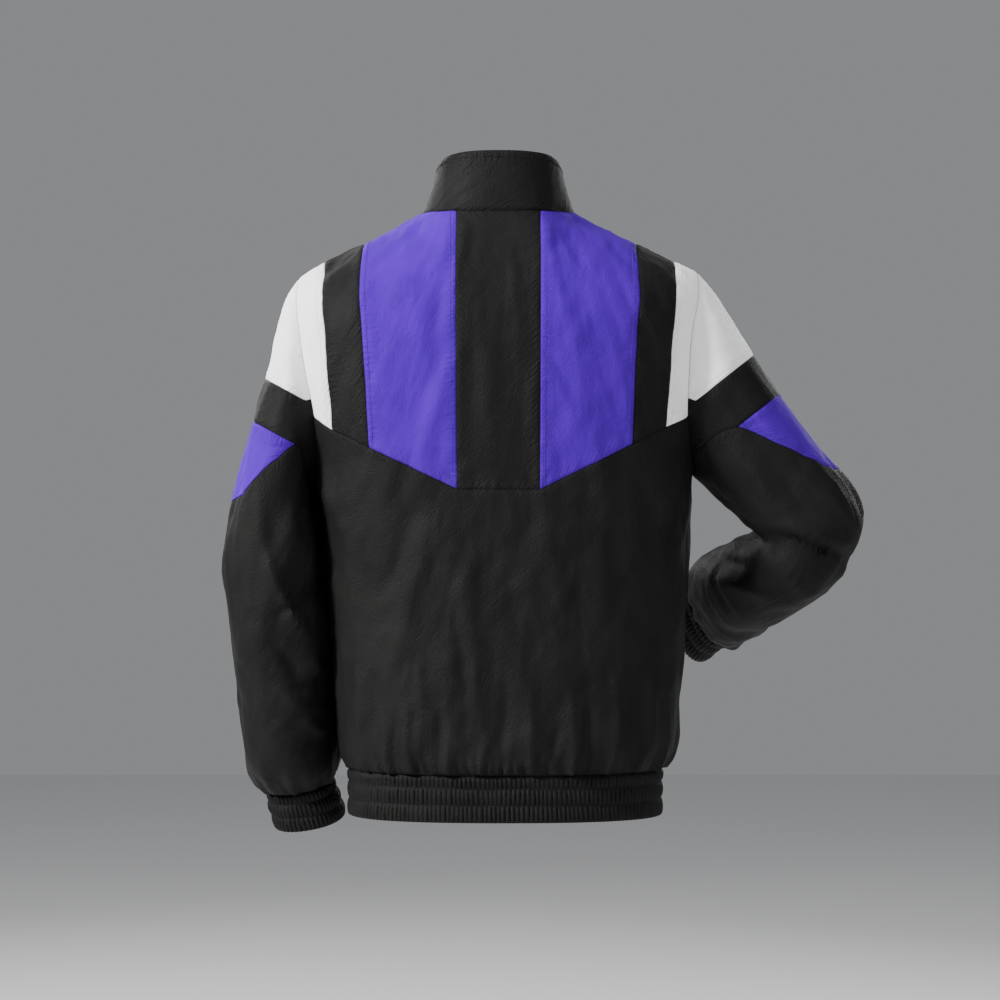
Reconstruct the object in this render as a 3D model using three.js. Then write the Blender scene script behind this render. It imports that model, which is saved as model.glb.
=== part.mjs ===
import * as THREE from 'three';

// Windbreaker jacket in its worn form, in millimetres.
// Z is up, the back faces +Y, the front and its zip face -Y, the wearer's left is +X.
// The origin is the middle of the neck opening, level with the collar seam.

const WALL = 1.6;
const SEAM = 0.16;
const ZIP_EDGE = 6.5;
const ZIP_MID = 0.5;
const TAPE_WALL = 1.2;
const SQUARE = 2.5;
const SHOULDER_Y = -5;
const SHOULDER_ROUND = 90;
const HEM_TOP = -621;

// The trunk: centre, half width and depth to back and front at each height.
const TRUNK = [
  { z: 20, mid: -1, half: 250, back: 58, front: 58 },
  { z: 0, mid: -1, half: 250, back: 62.5, front: 64 },
  { z: -30, mid: -1, half: 248, back: 80, front: 73 },
  { z: -62, mid: 0, half: 246, back: 97, front: 86 },
  { z: -100, mid: 2, half: 240, back: 111, front: 104 },
  { z: -135, mid: 3, half: 232, back: 119, front: 117 },
  { z: -185, mid: 1, half: 228, back: 123, front: 126 },
  { z: -235, mid: -3, half: 218.5, back: 122, front: 128 },
  { z: -290, mid: -5.8, half: 209.5, back: 119, front: 126 },
  { z: -345, mid: -8.8, half: 204.3, back: 116, front: 123 },
  { z: -400, mid: -9.8, half: 200.8, back: 114, front: 120 },
  { z: -450, mid: -11.2, half: 197.7, back: 113, front: 118 },
  { z: -500, mid: -11.7, half: 195.5, back: 113, front: 117 },
  { z: -550, mid: -10.6, half: 191.3, back: 114, front: 118 },
  { z: -585, mid: -10.2, half: 189.2, back: 114, front: 118 },
  { z: -603, mid: -8.6, half: 184.6, back: 112, front: 115 },
  { z: -621, mid: -7.5, half: 174.5, back: 107, front: 109 },
];

// The shoulder ridge: its height at each distance from the middle, left and right.
const RIDGE = [
  { x: 0, left: 95, right: 95 },
  { x: 30, left: 66, right: 66 },
  { x: 52, left: 38, right: 37 },
  { x: 70, left: 14, right: 13 },
  { x: 80, left: 4, right: 2 },
  { x: 87, left: -1.9, right: -2.5 },
  { x: 103, left: -10.9, right: -10.5 },
  { x: 129, left: -25, right: -24 },
  { x: 150, left: -35.3, right: -34.5 },
  { x: 170, left: -44.2, right: -43 },
  { x: 193, left: -56, right: -53.5 },
  { x: 210, left: -66, right: -61 },
  { x: 224, left: -75, right: -68.5 },
  { x: 240, left: -86, right: -82 },
  { x: 262, left: -102, right: -102 },
];

// Stripe seams of the back yoke: distance from the middle, from top to bottom.
const STRIPES = [
  { t: 0, centreL: 46.6, centreR: -46.2, purpleL: 150.6, purpleR: -153.5, whiteL: 192.9, whiteR: -196.2 },
  { t: 0.25, centreL: 46.2, centreR: -45.7, purpleL: 151, purpleR: -154, whiteL: 193, whiteR: -194.8 },
  { t: 0.5, centreL: 45.7, centreR: -45.3, purpleL: 147, purpleR: -150.3, whiteL: 189, whiteR: -190.5 },
  { t: 0.75, centreL: 45.2, centreR: -44.9, purpleL: 143.6, purpleR: -147.6, whiteL: 185, whiteR: -186.8 },
  { t: 1, centreL: 44.7, centreR: -44.6, purpleL: 140.8, purpleR: -145.5, whiteL: 181.9, whiteR: -183.6 },
];

// The lower edge of the back yoke, from the wearer's left to the right.
const CHEVRON = [
  { x: 206.4, z: -232.3 },
  { x: 181.9, z: -246.3 },
  { x: 140.8, z: -265.3 },
  { x: 44.7, z: -310.8 },
  { x: -44.6, z: -311.3 },
  { x: -145.5, z: -262 },
  { x: -183.6, z: -243 },
  { x: -213.3, z: -229 },
];

// How many cells each seam is divided into.
const CELLS = {
  centre: 4,
  neckBack: 3,
  shoulder: 3,
  side: 2,
  white: 3,
  neckFront: 7,
  lower: 9,
  collar: 5,
  sleeve: 14,
};

// Angles round the armhole from the shoulder, in degrees.
const ARMHOLE = {
  top: [0, 6, 12, 18, 24, 31, 38, 45],
  cap: [55, 65, 75, 85, 95, 105.6],
  yoke: [117],
  band: [130, 144],
  under: [156, 168, 180],
};

const ARM = {
  left: { sign: 1, top: -75, bottom: -291, back: 64, front: 67 },
  right: { sign: -1, top: -67.5, bottom: -293, back: 64, front: 67 },
};

// Sleeve sections: distance down the sleeve, outer and inner edge, middle depth, half depth.
const SLEEVE = {
  left: [
    { at: 28, ox: 238, oz: -101, ix: 211, iz: -297, y: 0, deep: 67 },
    { at: 75, ox: 255, oz: -165, ix: 212.5, iz: -305, y: 0, deep: 68 },
    { at: 130, ox: 277.5, oz: -247, ix: 208.5, iz: -321, y: 2, deep: 70 },
    { at: 185, ox: 295.5, oz: -322, ix: 201.5, iz: -351, y: 2, deep: 71 },
    { at: 240, ox: 306, oz: -388, ix: 196, iz: -401, y: 0, deep: 71 },
    { at: 295, ox: 301.5, oz: -450, ix: 191, iz: -456, y: -4, deep: 70 },
    { at: 355, ox: 295, oz: -518, ix: 187.5, iz: -519, y: -12, deep: 68 },
    { at: 412, ox: 287.5, oz: -582, ix: 184.5, iz: -576, y: -24, deep: 63 },
    { at: 445, ox: 282.5, oz: -622, ix: 183.5, iz: -608, y: -31, deep: 56 },
    { at: 460, ox: 273.5, oz: -640, ix: 185.5, iz: -626, y: -35, deep: 44 },
    { at: 468, ox: 261, oz: -650, ix: 189, iz: -638, y: -38, deep: 34 },
  ],
  right: [
    { at: 28, ox: -238, oz: -86, ix: -224, iz: -301, y: 0, deep: 67 },
    { at: 75, ox: -266, oz: -131, ix: -238, iz: -314, y: 2, deep: 67 },
    { at: 125, ox: -300, oz: -184, ix: -256, iz: -331, y: 5, deep: 64 },
    { at: 170, ox: -332, oz: -229, ix: -270, iz: -344, y: 8, deep: 61 },
    { at: 215, ox: -362, oz: -269, ix: -281, iz: -354, y: 10, deep: 59 },
    { at: 250, ox: -390, oz: -303, ix: -289, iz: -361, y: 12, deep: 58 },
    { at: 280, ox: -405.5, oz: -336, ix: -293, iz: -364.5, y: 10, deep: 57 },
    { at: 305, ox: -399, oz: -367, ix: -291.5, iz: -366, y: 4, deep: 56 },
    { at: 330, ox: -385, oz: -402, ix: -286.5, iz: -366, y: -6, deep: 55 },
    { at: 360, ox: -365, oz: -426, ix: -277, iz: -366, y: -22, deep: 55 },
    { at: 400, ox: -330, oz: -453, ix: -256, iz: -378, y: -55, deep: 54 },
    { at: 440, ox: -301, oz: -476, ix: -246, iz: -382, y: -90, deep: 48 },
    { at: 470, ox: -287.5, oz: -488, ix: -238, iz: -391, y: -113, deep: 41 },
    { at: 488, ox: -279, oz: -493, ix: -235, iz: -396, y: -126, deep: 35 },
    { at: 496, ox: -267, oz: -490, ix: -231, iz: -402, y: -135, deep: 30 },
  ],
};

// Sleeve seams as seen square on from the back.
const SLEEVE_SEAMS = {
  left: {
    cap: [{ x: 214.5, z: -212 }, { x: 261.5, z: -187 }],
    kiteTop: [{ x: 227.1, z: -260 }, { x: 274.7, z: -235 }],
    kiteLow: [
      { x: 227.1, z: -260 },
      { x: 254.8, z: -282.3 },
      { x: 280.6, z: -306.9 },
      { x: 297, z: -327 },
    ],
  },
  right: {
    cap: [{ x: -217.5, z: -214 }, { x: -285, z: -161.3 }],
    kiteTop: [{ x: -267.8, z: -240.5 }, { x: -313.5, z: -204.7 }],
    kiteLow: [
      { x: -267.8, z: -240.5 },
      { x: -322, z: -263.5 },
      { x: -379, z: -289 },
    ],
  },
};

// The cuffs: centre, half width, half depth at the seam and at the hem.
const CUFF = {
  left: { x: 214.5, y: -44, z: -685, wide: 39.5, deep: 36 },
  right: { x: -226.5, y: -168, z: -470.7, wide: 45, deep: 29 },
};

// Channels of the elastic hem and cuffs: part of the height, how far the cloth stands out.
const CHANNELS = [
  { t: 0, out: 0 },
  { t: 0.15, out: 1.6 },
  { t: 0.31, out: 0 },
  { t: 0.48, out: 1.8 },
  { t: 0.655, out: 0 },
  { t: 0.83, out: 1.8 },
  { t: 1, out: 0.2 },
];

const HEM = { bottom: -672, half: 174, back: 106, front: 108, gathers: 44, ridge: 1.4 };
const CUFF_GATHERS = { count: 14, ridge: 1.2 };

// Soft folds that rise from the hem: place round the trunk in degrees, rise and height.
const HEM_FOLDS = [
  { at: 12, rise: 70, high: 3 },
  { at: 30, rise: 90, high: 3.5 },
  { at: 47, rise: 110, high: 3 },
  { at: 62, rise: 75, high: 3.5 },
  { at: 77, rise: 95, high: 2.5 },
  { at: 93, rise: 70, high: 3 },
  { at: 108, rise: 105, high: 3.5 },
  { at: 125, rise: 80, high: 3 },
  { at: 143, rise: 115, high: 4 },
  { at: 162, rise: 75, high: 3 },
  { at: 196, rise: 80, high: 3 },
  { at: 214, rise: 100, high: 3.5 },
  { at: 232, rise: 85, high: 3 },
  { at: 250, rise: 70, high: 2.5 },
  { at: 290, rise: 75, high: 2.5 },
  { at: 308, rise: 95, high: 3.5 },
  { at: 326, rise: 80, high: 3 },
  { at: 345, rise: 70, high: 3 },
];

// Long folds of the sleeves: side, face, ends seen from the back, height and half width.
const SLEEVE_FOLDS = [
  { arm: 'left', face: 1, x0: 268, z0: -335, x1: 236, z1: -450, high: 5, wide: 16 },
  { arm: 'left', face: 1, x0: 236, z0: -450, x1: 208, z1: -490, high: 5, wide: 14 },
  { arm: 'left', face: 1, x0: 212, z0: -420, x1: 232, z1: -478, high: -5, wide: 14 },
  { arm: 'left', face: 1, x0: 262, z0: -500, x1: 240, z1: -600, high: 3.5, wide: 15 },
  { arm: 'left', face: 1, x0: 205, z0: -515, x1: 226, z1: -545, high: 5, wide: 12 },
  { arm: 'left', face: 1, x0: 196, z0: -560, x1: 228, z1: -585, high: -4, wide: 10 },
  { arm: 'left', face: -1, x0: 274, z0: -350, x1: 232, z1: -470, high: 5, wide: 17 },
  { arm: 'left', face: -1, x0: 262, z0: -520, x1: 236, z1: -606, high: 4, wide: 15 },
  { arm: 'right', face: 1, x0: -281, z0: -357, x1: -384, z1: -388, high: -7, wide: 11 },
  { arm: 'right', face: 1, x0: -305, z0: -352, x1: -385, z1: -368, high: 5, wide: 12 },
  { arm: 'right', face: 1, x0: -300, z0: -388, x1: -340, z1: -420, high: 4, wide: 13 },
  { arm: 'right', face: 1, x0: -262, z0: -268, x1: -300, z1: -330, high: 3.5, wide: 14 },
  { arm: 'right', face: -1, x0: -281, z0: -357, x1: -386, z1: -384, high: -7, wide: 12 },
  { arm: 'right', face: -1, x0: -300, z0: -300, x1: -380, z1: -350, high: 4, wide: 15 },
];

const PAINT = {
  black: 0x242424,
  purple: 0x6450c8,
  white: 0xf2f2f2,
  tape: 0x1a1a1a,
  metal: 0x303236,
};

const rad = (deg) => (deg * Math.PI) / 180;
const lerp = (a, b, t) => a + (b - a) * t;
const clamp = (v, lo, hi) => Math.min(hi, Math.max(lo, v));
const vec = (x, y, z) => new THREE.Vector3(x, y, z);

// Smooth reading of a table whose rows rise or fall along one column.
function read(rows, key, value, at) {
  const rising = rows[rows.length - 1][key] > rows[0][key];
  const s = rising ? 1 : -1;
  const last = rows.length - 2;
  let i = 0;
  while (i < last && s * at > s * rows[i + 1][key]) i += 1;
  const a = rows[i];
  const b = rows[i + 1];
  const span = b[key] - a[key];
  const t = clamp((at - a[key]) / span, 0, 1);
  const slope = (k) => {
    const p = rows[Math.max(0, k - 1)];
    const q = rows[Math.min(rows.length - 1, k + 1)];
    return (q[value] - p[value]) / (q[key] - p[key]);
  };
  const m0 = slope(i) * span;
  const m1 = slope(i + 1) * span;
  const t2 = t * t;
  const t3 = t2 * t;
  const h0 = 2 * t3 - 3 * t2 + 1;
  const h1 = t3 - 2 * t2 + t;
  return h0 * a[value] + h1 * m0 + (1 - h0) * b[value] + (t3 - t2) * m1;
}

const ridge = (x) => read(RIDGE, 'x', x < 0 ? 'right' : 'left', Math.abs(x));

function power(v) {
  return Math.sign(v) * Math.pow(Math.abs(v), 2 / SQUARE);
}

// A point of the trunk at an angle from the wearer's left, through the back, and a height.
function trunk(angle, z) {
  const mid = read(TRUNK, 'z', 'mid', z);
  const half = read(TRUNK, 'z', 'half', z);
  const deep = read(TRUNK, 'z', Math.sin(angle) >= 0 ? 'back' : 'front', z);
  const x = mid + half * power(Math.cos(angle));
  const y = deep * power(Math.sin(angle));
  const drop = (ridge(x) - z) / SHOULDER_ROUND;
  if (drop >= 1) return vec(x, y, z);
  const g = Math.sqrt(1 - (1 - Math.max(drop, 0)) ** 2);
  return vec(x, SHOULDER_Y + (y - SHOULDER_Y) * g, z);
}

// The angle of the trunk that has a given distance from the middle, on one face.
function angleAt(x, z, face) {
  const mid = read(TRUNK, 'z', 'mid', z);
  const half = read(TRUNK, 'z', 'half', z);
  const c = clamp((x - mid) / half, -1, 1);
  return face * Math.acos(Math.sign(c) * Math.pow(Math.abs(c), SQUARE / 2));
}

// The trunk as a level surface, for its normals.
function level(p) {
  const mid = read(TRUNK, 'z', 'mid', p.z);
  const half = read(TRUNK, 'z', 'half', p.z);
  const deep = read(TRUNK, 'z', p.y >= SHOULDER_Y ? 'back' : 'front', p.z);
  const side = Math.pow(Math.min(Math.abs((p.x - mid) / half), 0.9999), SQUARE);
  const drop = (ridge(p.x) - p.z) / SHOULDER_ROUND;
  if (drop >= 1) {
    const depth = read(TRUNK, 'z', p.y >= 0 ? 'back' : 'front', p.z);
    const out = Math.pow(Math.abs((p.x - mid) / half), SQUARE);
    return out + Math.pow(Math.abs(p.y / depth), SQUARE) - 1;
  }
  const full = Math.sign(p.y - SHOULDER_Y || 1) * deep * Math.pow(1 - side, 1 / SQUARE);
  const share = (p.y - SHOULDER_Y) / (full - SHOULDER_Y);
  return share * share + (1 - drop) ** 2 - 1;
}

function trunkNormal(p) {
  const h = 0.4;
  const along = (d) => level(p.clone().addScaledVector(d, h)) - level(p.clone().addScaledVector(d, -h));
  return vec(along(vec(1, 0, 0)), along(vec(0, 1, 0)), along(vec(0, 0, 1))).normalize();
}

// Soft folds that stand above the hem.
function hemFold(angle, z) {
  const deg = ((angle * 180) / Math.PI + 360) % 360;
  let out = 0;
  for (const fold of HEM_FOLDS) {
    const up = (z - HEM_TOP) / fold.rise;
    if (up < 1) {
      const off = ((deg - fold.at + 540) % 360) - 180;
      out += fold.high * Math.exp(-((off / 5) ** 2)) * (1 - up) ** 1.5 * Math.min(1, up * 6);
    }
  }
  return out;
}

// A wall from a grid of outer points and normals, its edges drawn in by the seam gap.
function wall(name, grid, options = {}) {
  const { paint = 'black', thick = WALL, wrap = false, seam = SEAM } = options;
  const rows = grid.length;
  const cols = grid[0].length;
  const at = (j, i) => grid[j][wrap ? (i + cols) % cols : i];
  const j0 = Math.floor(rows / 2);
  const i0 = Math.floor(cols / 2);
  const ds = at(j0, i0).p.clone().sub(at(j0, i0 - 1).p);
  const dt = at(j0, i0).p.clone().sub(at(j0 - 1, i0).p);
  const turn = ds.cross(dt).dot(at(j0, i0).n) >= 0 ? 1 : -1;
  const moves = new Map();
  const trim = (cell, before, after, flags) => {
    const parts = [];
    for (const [from, to, held] of [[before, cell, flags[0]], [cell, after, flags[1]]]) {
      const d = to.p.clone().sub(from.p);
      if (!held && d.length() > 1e-6) {
        parts.push(cell.n.clone().cross(d).multiplyScalar(turn).normalize());
      }
    }
    const m = vec(0, 0, 0);
    for (const n of parts) m.add(n);
    const share = parts.length === 2 ? Math.max(1 + parts[0].dot(parts[1]), 0.15) : 1;
    m.multiplyScalar(seam / share);
    if (cell.move) m.add(cell.move);
    moves.set(cell, m);
  };
  const ring = [];
  if (wrap) {
    for (const [j, way] of [[0, 1], [rows - 1, -1]]) {
      for (let i = 0; i < cols; i += 1) {
        const cell = at(j, i);
        const a = at(j, i - way);
        const b = at(j, i + way);
        trim(cell, a, b, [cell.move && a.move, cell.move && b.move]);
      }
    }
  } else {
    for (let i = 0; i < cols - 1; i += 1) ring.push(grid[0][i]);
    for (let j = 0; j < rows - 1; j += 1) ring.push(grid[j][cols - 1]);
    for (let i = cols - 1; i > 0; i -= 1) ring.push(grid[rows - 1][i]);
    for (let j = rows - 1; j > 0; j -= 1) ring.push(grid[j][0]);
    ring.forEach((cell, k) => {
      const a = ring[(k + ring.length - 1) % ring.length];
      const b = ring[(k + 1) % ring.length];
      trim(cell, a, b, [cell.move && a.move, cell.move && b.move]);
    });
  }
  const points = [];
  const inner = [];
  for (const row of grid) {
    for (const cell of row) {
      const p = cell.p.clone().addScaledVector(cell.n, cell.out || 0);
      if (moves.has(cell)) p.add(moves.get(cell));
      points.push(p);
      const q = cell.plain ? p.clone().addScaledVector(cell.n, -(cell.out || 0)) : p.clone();
      inner.push(q.addScaledVector(cell.n, -thick));
    }
  }
  const count = rows * cols;
  const index = [];
  const id = (j, i) => j * cols + (wrap ? (i + cols) % cols : i);
  const quad = (a, b, c, d) => {
    if (turn > 0) index.push(a, b, c, a, c, d);
    else index.push(a, c, b, a, d, c);
  };
  const all = points.concat(inner);
  const side = (a, b, c, d) => {
    if (all[a].distanceTo(all[c]) <= all[b].distanceTo(all[d])) quad(a, b, c, d);
    else quad(b, c, d, a);
  };
  const lastCol = wrap ? cols : cols - 1;
  for (let j = 0; j < rows - 1; j += 1) {
    for (let i = 0; i < lastCol; i += 1) {
      const a = id(j, i);
      const b = id(j, i + 1);
      const c = id(j + 1, i + 1);
      const d = id(j + 1, i);
      quad(a, b, c, d);
      quad(a + count, d + count, c + count, b + count);
    }
  }
  for (let i = 0; i < lastCol; i += 1) {
    const a = id(0, i);
    const b = id(0, i + 1);
    const c = id(rows - 1, i);
    const d = id(rows - 1, i + 1);
    side(a + count, b + count, b, a);
    side(c, d, d + count, c + count);
  }
  if (!wrap) {
    for (let j = 0; j < rows - 1; j += 1) {
      const a = id(j, 0);
      const b = id(j + 1, 0);
      const c = id(j, cols - 1);
      const d = id(j + 1, cols - 1);
      side(a, b, b + count, a + count);
      side(c + count, d + count, d, c);
    }
  }
  const flat = [];
  for (const p of all) flat.push(p.x, p.y, p.z);
  const geometry = new THREE.BufferGeometry();
  geometry.setAttribute('position', new THREE.Float32BufferAttribute(flat, 3));
  geometry.setIndex(index);
  geometry.computeVertexNormals();
  return solid(name, geometry, paint);
}

function solid(name, geometry, paint) {
  const metal = paint === 'metal';
  const material = new THREE.MeshStandardMaterial({
    color: PAINT[paint],
    roughness: metal ? 0.4 : 0.75,
    metalness: metal ? 0.8 : 0,
  });
  const mesh = new THREE.Mesh(geometry, material);
  mesh.name = name;
  return mesh;
}

// A patch between four edges given in the two coordinates of a surface.
function patch(top, bottom, left, right) {
  const cols = top.length;
  const rows = left.length;
  const grid = [];
  for (let j = 0; j < rows; j += 1) {
    const t = j / (rows - 1);
    const row = [];
    for (let i = 0; i < cols; i += 1) {
      const s = i / (cols - 1);
      const point = [0, 1].map((k) => {
        const edge = lerp(top[i][k], bottom[i][k], t) + lerp(left[j][k], right[j][k], s);
        const upper = lerp(top[0][k], top[cols - 1][k], s);
        const lower = lerp(bottom[0][k], bottom[cols - 1][k], s);
        return edge - lerp(upper, lower, t);
      });
      row.push(point);
    }
    grid.push(row);
  }
  for (let i = 0; i < cols; i += 1) {
    grid[0][i] = top[i];
    grid[rows - 1][i] = bottom[i];
  }
  for (let j = 0; j < rows; j += 1) {
    grid[j][0] = left[j];
    grid[j][cols - 1] = right[j];
  }
  return grid;
}

function trunkWall(name, edges, paint) {
  const grid = patch(...edges).map((row) => row.map(([angle, z]) => {
    const p = trunk(angle, z);
    return { p, n: trunkNormal(p), out: hemFold(angle, z) };
  }));
  return wall(name, grid, { paint });
}

// The armhole: a loop on the trunk at an angle from the shoulder through the back.
function armPoint(arm, deg) {
  const { sign, top, bottom, back, front } = ARM[arm];
  const c = Math.cos(rad(deg));
  const s = Math.sin(rad(deg));
  const z = (top + bottom) / 2 + ((top - bottom) / 2) * c;
  const y = lerp(SHOULDER_Y, 0, (1 - c) / 2) + (s >= 0 ? back : front) * s;
  if (Math.abs(s) < 1e-6 && c < 0) return [sign > 0 ? 0 : Math.PI, z];
  const face = s > 0 ? 1 : -1;
  let lo = 0;
  let hi = Math.PI / 2;
  for (let k = 0; k < 50; k += 1) {
    const m = (lo + hi) / 2;
    const angle = face * (sign > 0 ? m : Math.PI - m);
    const p = trunk(angle, z);
    const past = ridge(p.x) <= z;
    if (past || face * (p.y - y) < 0) lo = m;
    else hi = m;
  }
  const m = (lo + hi) / 2;
  return [face * (sign > 0 ? m : Math.PI - m), z];
}

const ARM_UPPER = [...ARMHOLE.top, ...ARMHOLE.cap, ...ARMHOLE.yoke];
const ARM_LOWER = [...ARMHOLE.yoke, ...ARMHOLE.band, ...ARMHOLE.under];
const ROWS = ARM_UPPER.length;

const armEdge = (arm, degs, face) => degs.map((deg) => {
  const [angle, z] = armPoint(arm, face * deg);
  return [face * Math.abs(angle), z];
});

// Where the seams of neck, shoulder and yoke lie.
const neckBack = (x) => -4.6 + 3 * (x / 86) ** 2;
const neckFront = (x) => -1.6 - 60.4 * Math.sqrt(Math.max(0, 1 - (x / 87) ** 2));
const NECK_X = 86.5;
const midX = (z) => read(TRUNK, 'z', 'mid', z);

function chevron(x) {
  let i = 0;
  while (i < CHEVRON.length - 2 && x < CHEVRON[i + 1].x) i += 1;
  const a = CHEVRON[i];
  const b = CHEVRON[i + 1];
  return lerp(a.z, b.z, (x - a.x) / (b.x - a.x));
}

const spread = (from, to, cells, easing = 1) => {
  const out = [];
  for (let i = 0; i <= cells; i += 1) out.push(lerp(from, to, (i / cells) ** easing));
  return out;
};

// The rows of a stripe seam, closer together near the shoulder.
function stripeEdge(column) {
  const topX = STRIPES[0][column];
  const lowX = STRIPES[STRIPES.length - 1][column];
  const topZ = Math.abs(topX) < NECK_X ? neckBack(topX) : ridge(topX);
  const lowZ = chevron(lowX);
  return spread(0, 1, ROWS - 1, 1.35).map((t) => {
    const x = read(STRIPES, 't', column, t);
    const z = lerp(topZ, lowZ, t);
    return [angleAt(x, z, 1), z];
  });
}

// Sample points along the neck and shoulder of each side.
function shoulderXs(sign) {
  const end = trunk(...armPoint(sign > 0 ? 'left' : 'right', 0)).x;
  const key = sign > 0 ? 'L' : 'R';
  const neck = sign * NECK_X;
  const purple = spread(neck, STRIPES[0]['purple' + key], CELLS.shoulder);
  const side = spread(STRIPES[0]['purple' + key], STRIPES[0]['white' + key], CELLS.side);
  const white = spread(STRIPES[0]['white' + key], end, CELLS.white);
  return { purple, side, white };
}

const ridgePoint = (x, face) => [angleAt(x, ridge(x), face), ridge(x)];
const neckPoint = (x) => {
  const z = Math.abs(x) >= NECK_X - 1e-6 ? ridge(x) : neckBack(x);
  return [angleAt(x, z, 1), z];
};

const chevronEdge = (from, to, cells) => spread(from, to, cells).map((x) => {
  const z = chevron(x);
  return [angleAt(x, z, 1), z];
});

const PURPLE_CELLS = CELLS.neckBack + CELLS.shoulder;

// The seven pieces of the back yoke.
function backYoke() {
  const out = [];
  const top = spread(STRIPES[0].centreL, STRIPES[0].centreR, CELLS.centre).map(neckPoint);
  const low = chevronEdge(STRIPES[4].centreL, STRIPES[4].centreR, CELLS.centre);
  const centre = [top, low, stripeEdge('centreL'), stripeEdge('centreR')];
  out.push(trunkWall('back_yoke_centre', centre, 'black'));
  for (const [key, sign, arm] of [['L', 1, 'left'], ['R', -1, 'right']]) {
    const xs = shoulderXs(sign);
    const low4 = STRIPES[4];
    const neck = spread(STRIPES[0]['centre' + key], sign * NECK_X, CELLS.neckBack).map(neckPoint);
    const over = xs.purple.slice(1).map((x) => ridgePoint(x, 1));
    const purpleLow = chevronEdge(low4['centre' + key], low4['purple' + key], PURPLE_CELLS);
    const purple = [neck.concat(over), purpleLow, stripeEdge('centre' + key), stripeEdge('purple' + key)];
    out.push(trunkWall('back_yoke_purple_' + arm, purple, 'purple'));
    const sideTop = xs.side.map((x) => ridgePoint(x, 1));
    const sideLow = chevronEdge(low4['purple' + key], low4['white' + key], CELLS.side);
    const side = [sideTop, sideLow, stripeEdge('purple' + key), stripeEdge('white' + key)];
    out.push(trunkWall('back_yoke_side_' + arm, side, 'black'));
    const armSide = armEdge(arm, ARM_UPPER, 1);
    const corner = armSide[armSide.length - 1];
    const whiteTop = xs.white.map((x) => ridgePoint(x, 1));
    whiteTop[whiteTop.length - 1] = armSide[0];
    const whiteLow = whiteLowEdge(low4['white' + key], corner);
    const white = [whiteTop, whiteLow, stripeEdge('white' + key), armSide];
    out.push(trunkWall('back_yoke_white_' + arm, white, 'white'));
  }
  return out;
}

function whiteLowEdge(x, corner) {
  const end = trunk(...corner);
  return spread(0, 1, CELLS.white).map((t) => {
    if (t === 1) return corner;
    const px = lerp(x, end.x, t);
    const pz = lerp(chevron(x), end.z, t);
    return [angleAt(px, pz, 1), pz];
  });
}

// The plain lower back, from side seam to side seam.
function backLower() {
  const low = STRIPES[4];
  const left = armEdge('left', ARM_LOWER, 1);
  const right = armEdge('right', ARM_LOWER, 1);
  const top = [...left].reverse();
  top.push(...whiteLowEdge(low.whiteL, left[0]).reverse().slice(1));
  top.push(...chevronEdge(low.whiteL, low.purpleL, CELLS.side).slice(1));
  top.push(...chevronEdge(low.purpleL, low.centreL, PURPLE_CELLS).slice(1));
  top.push(...chevronEdge(low.centreL, low.centreR, CELLS.centre).slice(1));
  top.push(...chevronEdge(low.centreR, low.purpleR, PURPLE_CELLS).slice(1));
  top.push(...chevronEdge(low.purpleR, low.whiteR, CELLS.side).slice(1));
  top.push(...whiteLowEdge(low.whiteR, right[0]).slice(1));
  top.push(...right.slice(1));
  const bottom = spread(0, Math.PI, top.length - 1).map((angle) => [angle, HEM_TOP]);
  const edge = (angle, z) => sideRows(z).map((row) => [angle, row]);
  return trunkWall('back_lower', [top, bottom, edge(0, left[5][1]), edge(Math.PI, right[5][1])], 'black');
}

const sideRows = (from) => spread(from, HEM_TOP, CELLS.lower, 0.85);

const zipAngle = (sign, z) => angleAt(midX(z) + sign * ZIP_EDGE, z, -1);
const YOKE_FRONT = { centre: -200 };

// Rows of the centre front edge, from the neck to the hem.
function zipRows() {
  const upper = spread(neckFront(ZIP_EDGE), YOKE_FRONT.centre, ROWS - 1);
  const lower = spread(YOKE_FRONT.centre, HEM_TOP, CELLS.lower);
  return { upper, lower };
}

function frontNeck(sign) {
  const from = Math.asin(ZIP_EDGE / 87);
  const to = Math.asin(NECK_X / 87);
  return spread(from, to, CELLS.neckFront).map((a, i) => {
    if (i === 0) return [zipAngle(sign, neckFront(ZIP_EDGE)), neckFront(ZIP_EDGE)];
    if (i === CELLS.neckFront) return ridgePoint(sign * NECK_X, -1);
    const x = sign * 87 * Math.sin(a);
    const z = lerp(neckFront(x), ridge(sign * NECK_X), (i / CELLS.neckFront) ** 8);
    return [angleAt(x, z, -1), z];
  });
}

function frontSeam(sign, arm) {
  const xs = shoulderXs(sign);
  const cells = CELLS.neckFront + xs.purple.length + xs.side.length + xs.white.length - 3;
  const corner = armPoint(arm, -ARMHOLE.yoke[0]);
  const end = trunk(...corner);
  return spread(0, 1, cells).map((t, i) => {
    if (i === 0) return [zipAngle(sign, YOKE_FRONT.centre), YOKE_FRONT.centre];
    if (i === cells) return corner;
    const x = lerp(midX(YOKE_FRONT.centre) + sign * ZIP_EDGE, end.x, t);
    const z = lerp(YOKE_FRONT.centre, end.z, t);
    return [angleAt(x, z, -1), z];
  });
}

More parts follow.
